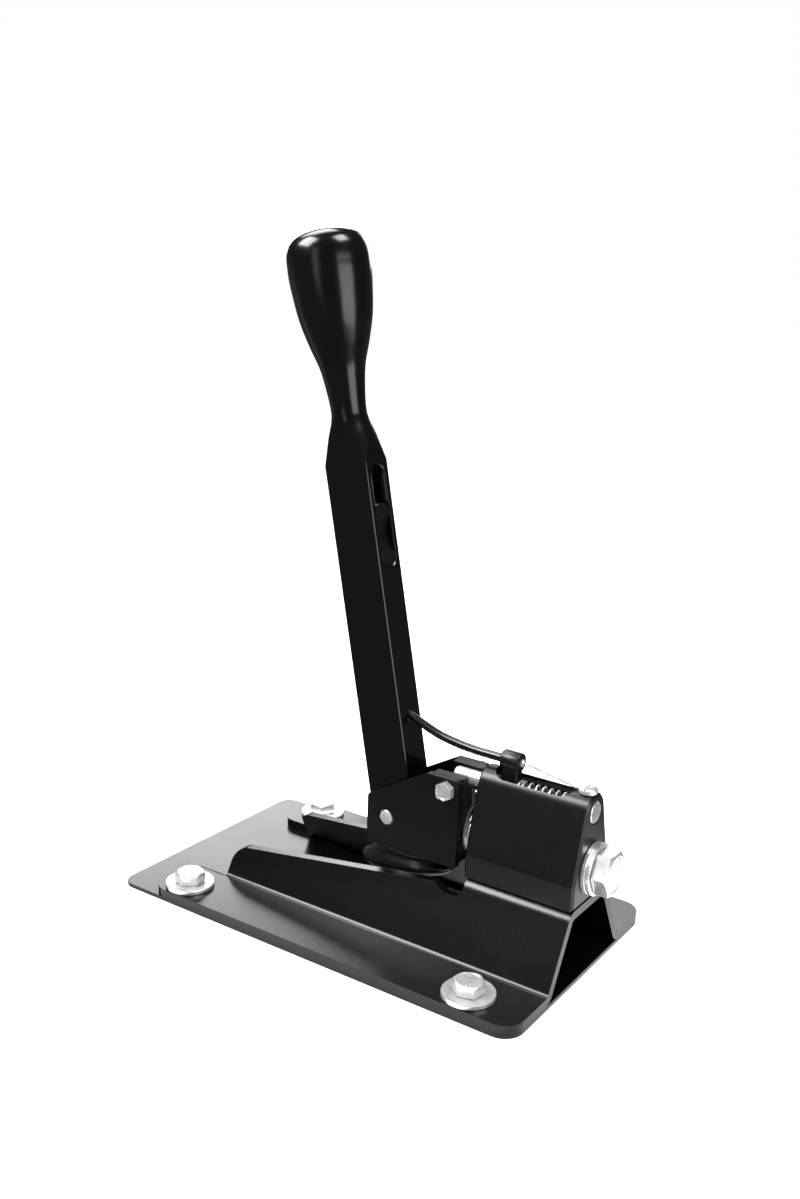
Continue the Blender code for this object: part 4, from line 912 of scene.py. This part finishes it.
class SHIFTER_OT_lock(bpy.types.Operator):
    """The cable post, the spring plug, the anchor screw and the return spring"""

    bl_idname = "shifter.lock"
    bl_label = "Lock and springs"

    def execute(self, context):
        self.post()
        start, end = span("spring_plug", "x")
        radius, length, lip = size("spring_plug", "y") / 2, end - start, 0.8 * MM
        plug = turned([(0, 0), (radius, 0), (radius, length - lip), (radius - lip, length), (0, length)], 64)
        plug = solid("visual_spring_plug", plug, at((start, 0, LOCK_Z), "X"))
        drill(plug, 4.4 * MM, (start + 0.3 * length, 0, LOCK_Z), "X", length, 64)
        dress(plug, "zinc", "base", ["spring_plug"], 0.15 * MM)
        self.anchor()
        self.spring()
        return {"FINISHED"}

    def post(self):
        spot = middle("cable_post")
        foot, centre = low("cable_post", "z"), POST.z
        stem_foot = high("lock_pin", "z") + SEAT
        deep, wide = 3.8 * MM, 3.4 * MM
        stem = rectangle(spot.x - deep, -wide, spot.x + deep, wide, 1.3 * MM, 6)
        post = solid("visual_cable_post", prism(stem, "Z", stem_foot, centre))
        half = size("cable_post", "x") / 2
        radius, lip = 4.5 * MM, 0.8 * MM
        barrel = turned([(0, -half), (radius - lip, -half), (radius - lip * 0.3, -half + lip * 0.3),
                         (radius, lip - half), (radius, half - lip), (radius - lip * 0.3, half - lip * 0.3),
                         (radius - lip, half), (0, half)], 64)
        cut(post, barrel, at((spot.x, 0, centre), "X"), "UNION")
        cut(post, rod(2 * MM, stem_foot - foot + MM, 24), at((spot.x, 0, foot)), "UNION")
        drill(post, 2.2 * MM, (spot.x - half - MM, 0, centre), "X", 5 * MM, 32)
        drill(post, 0.8 * MM, (spot.x - half, 0, centre), "X", 2 * half, 16)
        drill(post, 2.0 * MM, (spot.x + half - 1.5 * MM, 0, centre), "X", 4 * MM, 32)
        dress(post, "anodised", "lock_plunger", ["cable_post"], 0.3 * MM, 50)

    def anchor(self):
        spot = middle("anchor_screw")
        seat = high("gate_block", "z") + SEAT
        foot, head = (z - seat for z in span("anchor_screw", "z"))
        radius, shank, slot = 4.3 * MM, 1.8 * MM, 0.6 * MM
        dome = [(radius * math.cos(a), head * (0.45 + 0.55 * math.sin(a)))
                for a in (math.pi / 2 * k / 10 for k in range(10))]
        screw = solid("visual_anchor_screw", turned(
            [(0, foot), (shank, foot), (shank, 0), (radius, 0), *dome, (0, head)], 64), at((spot.x, 0, seat)))
        cut(screw, prism(rectangle(spot.x - slot, -6 * MM, spot.x + slot, 6 * MM), "Z",
                         seat + head * 0.5, seat + 2 * head))
        dress(screw, "zinc", "base", ["anchor_screw"])

    def spring(self):
        start, end = span("return_spring", "x")
        wire, radius = 0.55 * MM, 4.55 * MM
        per_turn, turns = 28, 10
        total = per_turn * turns
        path = []
        for k in range(total + 1):
            t = k / total
            run = min(max((t - 0.08) / 0.84, 0), 1)   # the end turns lie closer
            angle = 2 * math.pi * k / per_turn
            x = start + wire + (end - start - 2 * wire) * (0.9 * run + 0.1 * t)
            path.append(Vector((x, radius * math.cos(angle), LOCK_Z + radius * math.sin(angle))))
        spring = show("return_spring", bar_along(path, wire, 10), None, "zinc", "base")
        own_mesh(spring)


class SHIFTER_OT_cable(bpy.types.Operator):
    """The cable's housing, in a stretch for each joint that it crosses, and the bare wire"""

    bl_idname = "shifter.cable"
    bl_label = "Cable"

    # The two bodies that each stretch joins, and where it ends as a share of the length
    spans = (("shift_lever", "carrier", 0.34), ("carrier", "base", 0.62), ("base", "lock_plunger", 1.0))

    def execute(self, context):
        path = smooth(CABLE["route"], 16)
        radius = size("cable_housing", "y") / 2
        lengths = [0.0]
        for a, b in zip(path, path[1:]):
            lengths.append(lengths[-1] + (b - a).length)
        total = lengths[-1]
        start, last = 0.0, []
        for i, (a, b, end) in enumerate(self.spans):
            stretch = last + [p for p, d in zip(path, lengths)
                              if start * total - 1e-9 <= d <= end * total + 1e-9]
            start, last = end, stretch[-1:]
            obj = solid(f"visual_cable_{i + 1}", bar_along(stretch, radius, 24))
            dress(obj, "plastic", None, ["cable_housing"] if i == 0 else ())
            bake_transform(obj)
        begin = Vector((high("wire_ferrule", "x") - 1.3 * MM, 0, POST.z))
        end = Vector((high("inner_wire", "x") - 0.3 * MM, 0, low("inner_wire", "z") + WIRE))
        wire = smooth([begin, begin + Vector((4 * MM, 0, -0.1 * MM)),
                       (begin + end) / 2 + Vector((0, 0, 0.3 * MM)), end - Vector((1.5 * MM, 0, 0)), end], 8)
        obj = show("inner_wire", bar_along(wire, WIRE, 12), None, "zinc", "base")
        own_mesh(obj)
        return {"FINISHED"}


class SHIFTER_OT_bellows(bpy.types.Operator):
    """The oval rubber bellows between the carrier and the lever's foot"""

    bl_idname = "shifter.bellows"
    bl_label = "Bellows"

    # Half length, half width and drop below the side plates, in mm
    shape = (
        (21.5, 13.8, 0.4), (21.5, 13.8, 2.0), (19.4, 12.2, 3.8), (19.6, 12.2, 5.0),
        (22.4, 13.5, 7.6), (23.4, 14.1, 10.2), (22.6, 13.5, 12.2), (18.0, 12.0, 14.0),
        (12.6, 10.9, 15.2), (9.8, 9.7, 16.4), (9.6, 9.5, 18.4),
    )
    ahead = 7.8 * MM   # the rim's middle from the pivot
    wall = 1.2 * MM
    count = 96

    def execute(self, context):
        bottom = low("side_plate_near", "z")
        rows = []
        for half_length, half_width, drop in self.shape:
            z = bottom - drop * MM
            neck = min(max((drop - 9) / 7, 0), 1)
            # Known fault: the lever's foot is at PIVOT.x - (AXIS_Z - z) * tan(LEAN)
            shank = PIVOT.x + (AXIS_Z - z) * math.tan(LEAN)
            centre = (PIVOT.x + self.ahead) * (1 - neck) + shank * neck
            rows.append(Vector((centre, half_length * MM, half_width * MM, z)))
        outer = [tuple(row) for row in smooth(rows, 5)]
        inner = [(c, a - self.wall, b - self.wall, z) for c, a, b, z in reversed(outer)]
        rings = [[Vector((c + a * math.cos(t), b * math.sin(t), z)) for t in around(self.count)]
                 for c, a, b, z in outer + inner]
        obj = show("bellows", loft(rings, closed=True), None, "rubber", None)
        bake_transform(obj)
        return {"FINISHED"}


class SHIFTER_OT_carried(bpy.types.Operator):
    """Finishes for the CAD pieces that are shown as they are"""

    bl_idname = "shifter.carried"
    bl_label = "Carried-over pieces"

    def execute(self, context):
        slots = {part["node"]: part["material_slot"] for part in frame["record"]["subparts"]}
        for name, obj in frame["nodes"].items():
            if obj.hide_render:
                continue
            obj.data.materials.clear()
            obj.data.materials.append(FINISH[slots[name]])
        return {"FINISHED"}


class SHIFTER_OT_stage(bpy.types.Operator):
    """The floor, the lights, the backdrop and the camera"""

    bl_idname = "shifter.stage"
    bl_label = "Stage"

    aim = Vector((0, 0, 0.15))
    reach = 6   # half the floor's side, in metres

    def execute(self, context):
        s = settings_of(context)
        self.floor(s)
        self.backdrop(context)
        for name, place, power, wide, tall in (
            ("left_top", (-0.50, -0.46, 0.92), s.top_power, 0.60, 0.50),
            ("rear_top", (-0.52, 0.30, 1.02), s.top_power * 0.30, 0.50, 0.50),
            ("right_top", (0.40, 0.05, 1.12), s.top_power * 0.45, 0.44, 0.40),
            ("right_wide", (1.08, -0.20, 0.36), s.side_power, 0.80, 0.68),
            ("left_strip", (-0.05, -1.10, 0.50), s.side_power * 0.10, 0.30, 0.60),
            ("back_right", (-0.38, 1.18, 0.55), s.back_power, 0.36, 0.36),
            ("back_left", (-0.93, 0.90, 0.54), s.back_power * 2.4, 0.50, 0.37),
        ):
            self.light(name, Vector(place), power, wide, tall)
        self.camera(context, s)
        return {"FINISHED"}

    def floor(self, s):
        bm = bmesh.new()
        r = self.reach
        bm.faces.new([bm.verts.new(p) for p in ((-r, -r, 0), (r, -r, 0), (r, r, 0), (-r, r, 0))])
        floor = solid("floor", bm)
        floor.location.z = -0.02 * MM
        material = bpy.data.materials.new("floor")
        material.use_nodes = True
        tree = material.node_tree
        tree.nodes.remove(tree.nodes["Principled BSDF"])
        paper = tree.nodes.new("ShaderNodeBsdfDiffuse")
        paper.inputs["Color"].default_value = (0.93, 0.93, 0.93, 1)
        # Painted glow: an emission that only glossy rays see, a bright pool and a stripe on the floor that
        # put painted reflections on the pieces' faces and edges
        lit = tree.nodes.new("ShaderNodeEmission")
        coords = tree.nodes.new("ShaderNodeTexCoord")
        source = coords.outputs["Object"]
        # The painted glow pool's middle and its shape: a bright pool painted on the floor, seen only in
        # reflections
        for operation, value in (("SUBTRACT", (0.28, 0.01, 0)), ("MULTIPLY", (3.8, 7.0, 0))):
            step = tree.nodes.new("ShaderNodeVectorMath")
            step.operation = operation
            step.inputs[1].default_value = value
            tree.links.new(source, step.inputs[0])
            source = step.outputs[0]
        distance = tree.nodes.new("ShaderNodeVectorMath")
        distance.operation = "LENGTH"
        tree.links.new(source, distance.inputs[0])
        painted_glow_patch = stretch_range(tree, distance.outputs["Value"], 1.15, 0.5, 0.10, s.sheen)
        # A painted glow stripe along the floor near y = -0.076 m, also seen only in reflections
        apart = tree.nodes.new("ShaderNodeSeparateXYZ")
        tree.links.new(coords.outputs["Object"], apart.inputs[0])
        aside = math_node(tree, "ABSOLUTE", math_node(tree, "ADD", apart.outputs["Y"], 0.076))
        painted_glow_stripe = stretch_range(tree, aside, 0.004, 0.022, s.sheen * 0.8, 0.0)
        strength = math_node(tree, "MAXIMUM", painted_glow_patch, painted_glow_stripe)
        tree.links.new(strength, lit.inputs["Strength"])
        rays = tree.nodes.new("ShaderNodeLightPath").outputs
        seen = self.pick(tree, rays["Is Glossy Ray"], paper, lit)
        tree.links.new(seen.outputs[0], tree.nodes["Material Output"].inputs["Surface"])
        floor.data.materials.append(material)

    def backdrop(self, context):
        world = bpy.data.worlds.new("backdrop")
        context.scene.world = world
        world.use_nodes = True
        tree = world.node_tree
        seen = tree.nodes["Background"]
        felt, shiny = (tree.nodes.new("ShaderNodeBackground") for _ in range(2))
        for node, strength in ((seen, 1.0), (felt, 1.2), (shiny, 0.06)):
            node.inputs["Color"].default_value = (1, 1, 1, 1)
            node.inputs["Strength"].default_value = strength
        rays = tree.nodes.new("ShaderNodeLightPath").outputs
        unseen = self.pick(tree, rays["Is Glossy Ray"], felt, shiny)
        both = self.pick(tree, rays["Is Camera Ray"], unseen, seen)
        tree.links.new(both.outputs[0], tree.nodes["World Output"].inputs["Surface"])

    def pick(self, tree, switch, off, on):
        """A mix shader that gives one node's shader or the other's."""
        node = tree.nodes.new("ShaderNodeMixShader")
        for socket, source in zip(node.inputs, (switch, off.outputs[0], on.outputs[0])):
            tree.links.new(source, socket)
        return node

    def light(self, name, place, power, wide, tall):
        data = bpy.data.lights.new(name, "AREA")
        data.shape = "RECTANGLE"
        data.size, data.size_y = wide, tall
        data.energy = power
        lamp = bpy.data.objects.new(name, data)
        lamp.location = place
        lamp.rotation_euler = (self.aim - place).to_track_quat("-Z", "Y").to_euler()
        bpy.context.collection.objects.link(lamp)

    def camera(self, context, s):
        data = bpy.data.cameras.new("camera")
        data.sensor_fit = "VERTICAL"
        data.sensor_height = 36.0
        data.lens = s.lens
        data.clip_start = 0.01
        camera = bpy.data.objects.new("camera", data)
        turn, dip, roll = s.camera_turn, s.camera_dip, s.camera_roll
        ahead = Vector((-math.sin(turn) * math.cos(dip), math.cos(turn) * math.cos(dip), -math.sin(dip)))
        right = Vector((math.cos(turn), math.sin(turn), 0))
        up = right.cross(ahead)
        side = math.cos(roll) * right + math.sin(roll) * up
        above = math.cos(roll) * up - math.sin(roll) * right
        rotation = Matrix((side, above, -ahead)).transposed().to_4x4()
        camera.matrix_world = Matrix.Translation(Vector(s.camera_at)) @ rotation
        context.collection.objects.link(camera)
        context.scene.camera = camera
        scene = context.scene
        scene.view_settings.view_transform = "Standard"
        scene.render.resolution_x, scene.render.resolution_y = 800, 1199
        scene.render.resolution_percentage = 100


def cable_places():
    """The cable's route in the row frame, from inside the lever to inside the post."""
    sink, straight = 4 * MM, 4 * MM
    face = Vector((low("cable_post", "x"), 0, POST.z))
    leave = LEVER_FRAME @ Vector((12 * MM, 0, 47.2 * MM))
    dip = math.radians(24)
    run = Vector((math.cos(dip), 0, -math.sin(dip)))
    steps = ((-35.5, 3.2), (-25, 1.2), (-15, 0.2), (-7, 0.0))
    over = [face + Vector((dx * MM, 0, dz * MM)) for dx, dz in steps]
    inside = leave - sink * run
    end = face + Vector((3.7 * MM, 0, 0))
    return {"inside": inside, "run": run, "route": [inside, leave, leave + straight * run, *over, face, end]}


CABLE = cable_places()

PIECES = (SHIFTER_OT_base, SHIFTER_OT_block, SHIFTER_OT_fasteners, SHIFTER_OT_carrier, SHIFTER_OT_lever,
          SHIFTER_OT_lock, SHIFTER_OT_cable, SHIFTER_OT_bellows, SHIFTER_OT_carried, SHIFTER_OT_stage)


class SHIFTER_PT_panel(bpy.types.Panel):
    """The shifter's settings and its build steps"""

    bl_idname = "SHIFTER_PT_panel"
    bl_label = "Short shifter"
    bl_space_type = "VIEW_3D"
    bl_region_type = "UI"
    bl_category = "Shifter"

    def draw(self, context):
        settings = settings_of(context)
        column = self.layout.column()
        for name in SHIFTER_PG_settings.__annotations__:
            column.prop(settings, name)
        for piece in PIECES:
            column.operator(piece.bl_idname)


CLASSES = (SHIFTER_PG_settings, *PIECES, SHIFTER_PT_panel)


def register():
    for item in CLASSES:
        bpy.utils.register_class(item)
    bpy.types.Scene.shifter = PointerProperty(type=SHIFTER_PG_settings)


def unregister():
    del bpy.types.Scene.shifter
    for item in reversed(CLASSES):
        bpy.utils.unregister_class(item)


def main():
    register()
    make_finishes(bpy.context.scene.shifter)
    for piece in PIECES:
        group, name = piece.bl_idname.split(".")
        getattr(getattr(bpy.ops, group), name)()


if __name__ == "__main__":
    main()
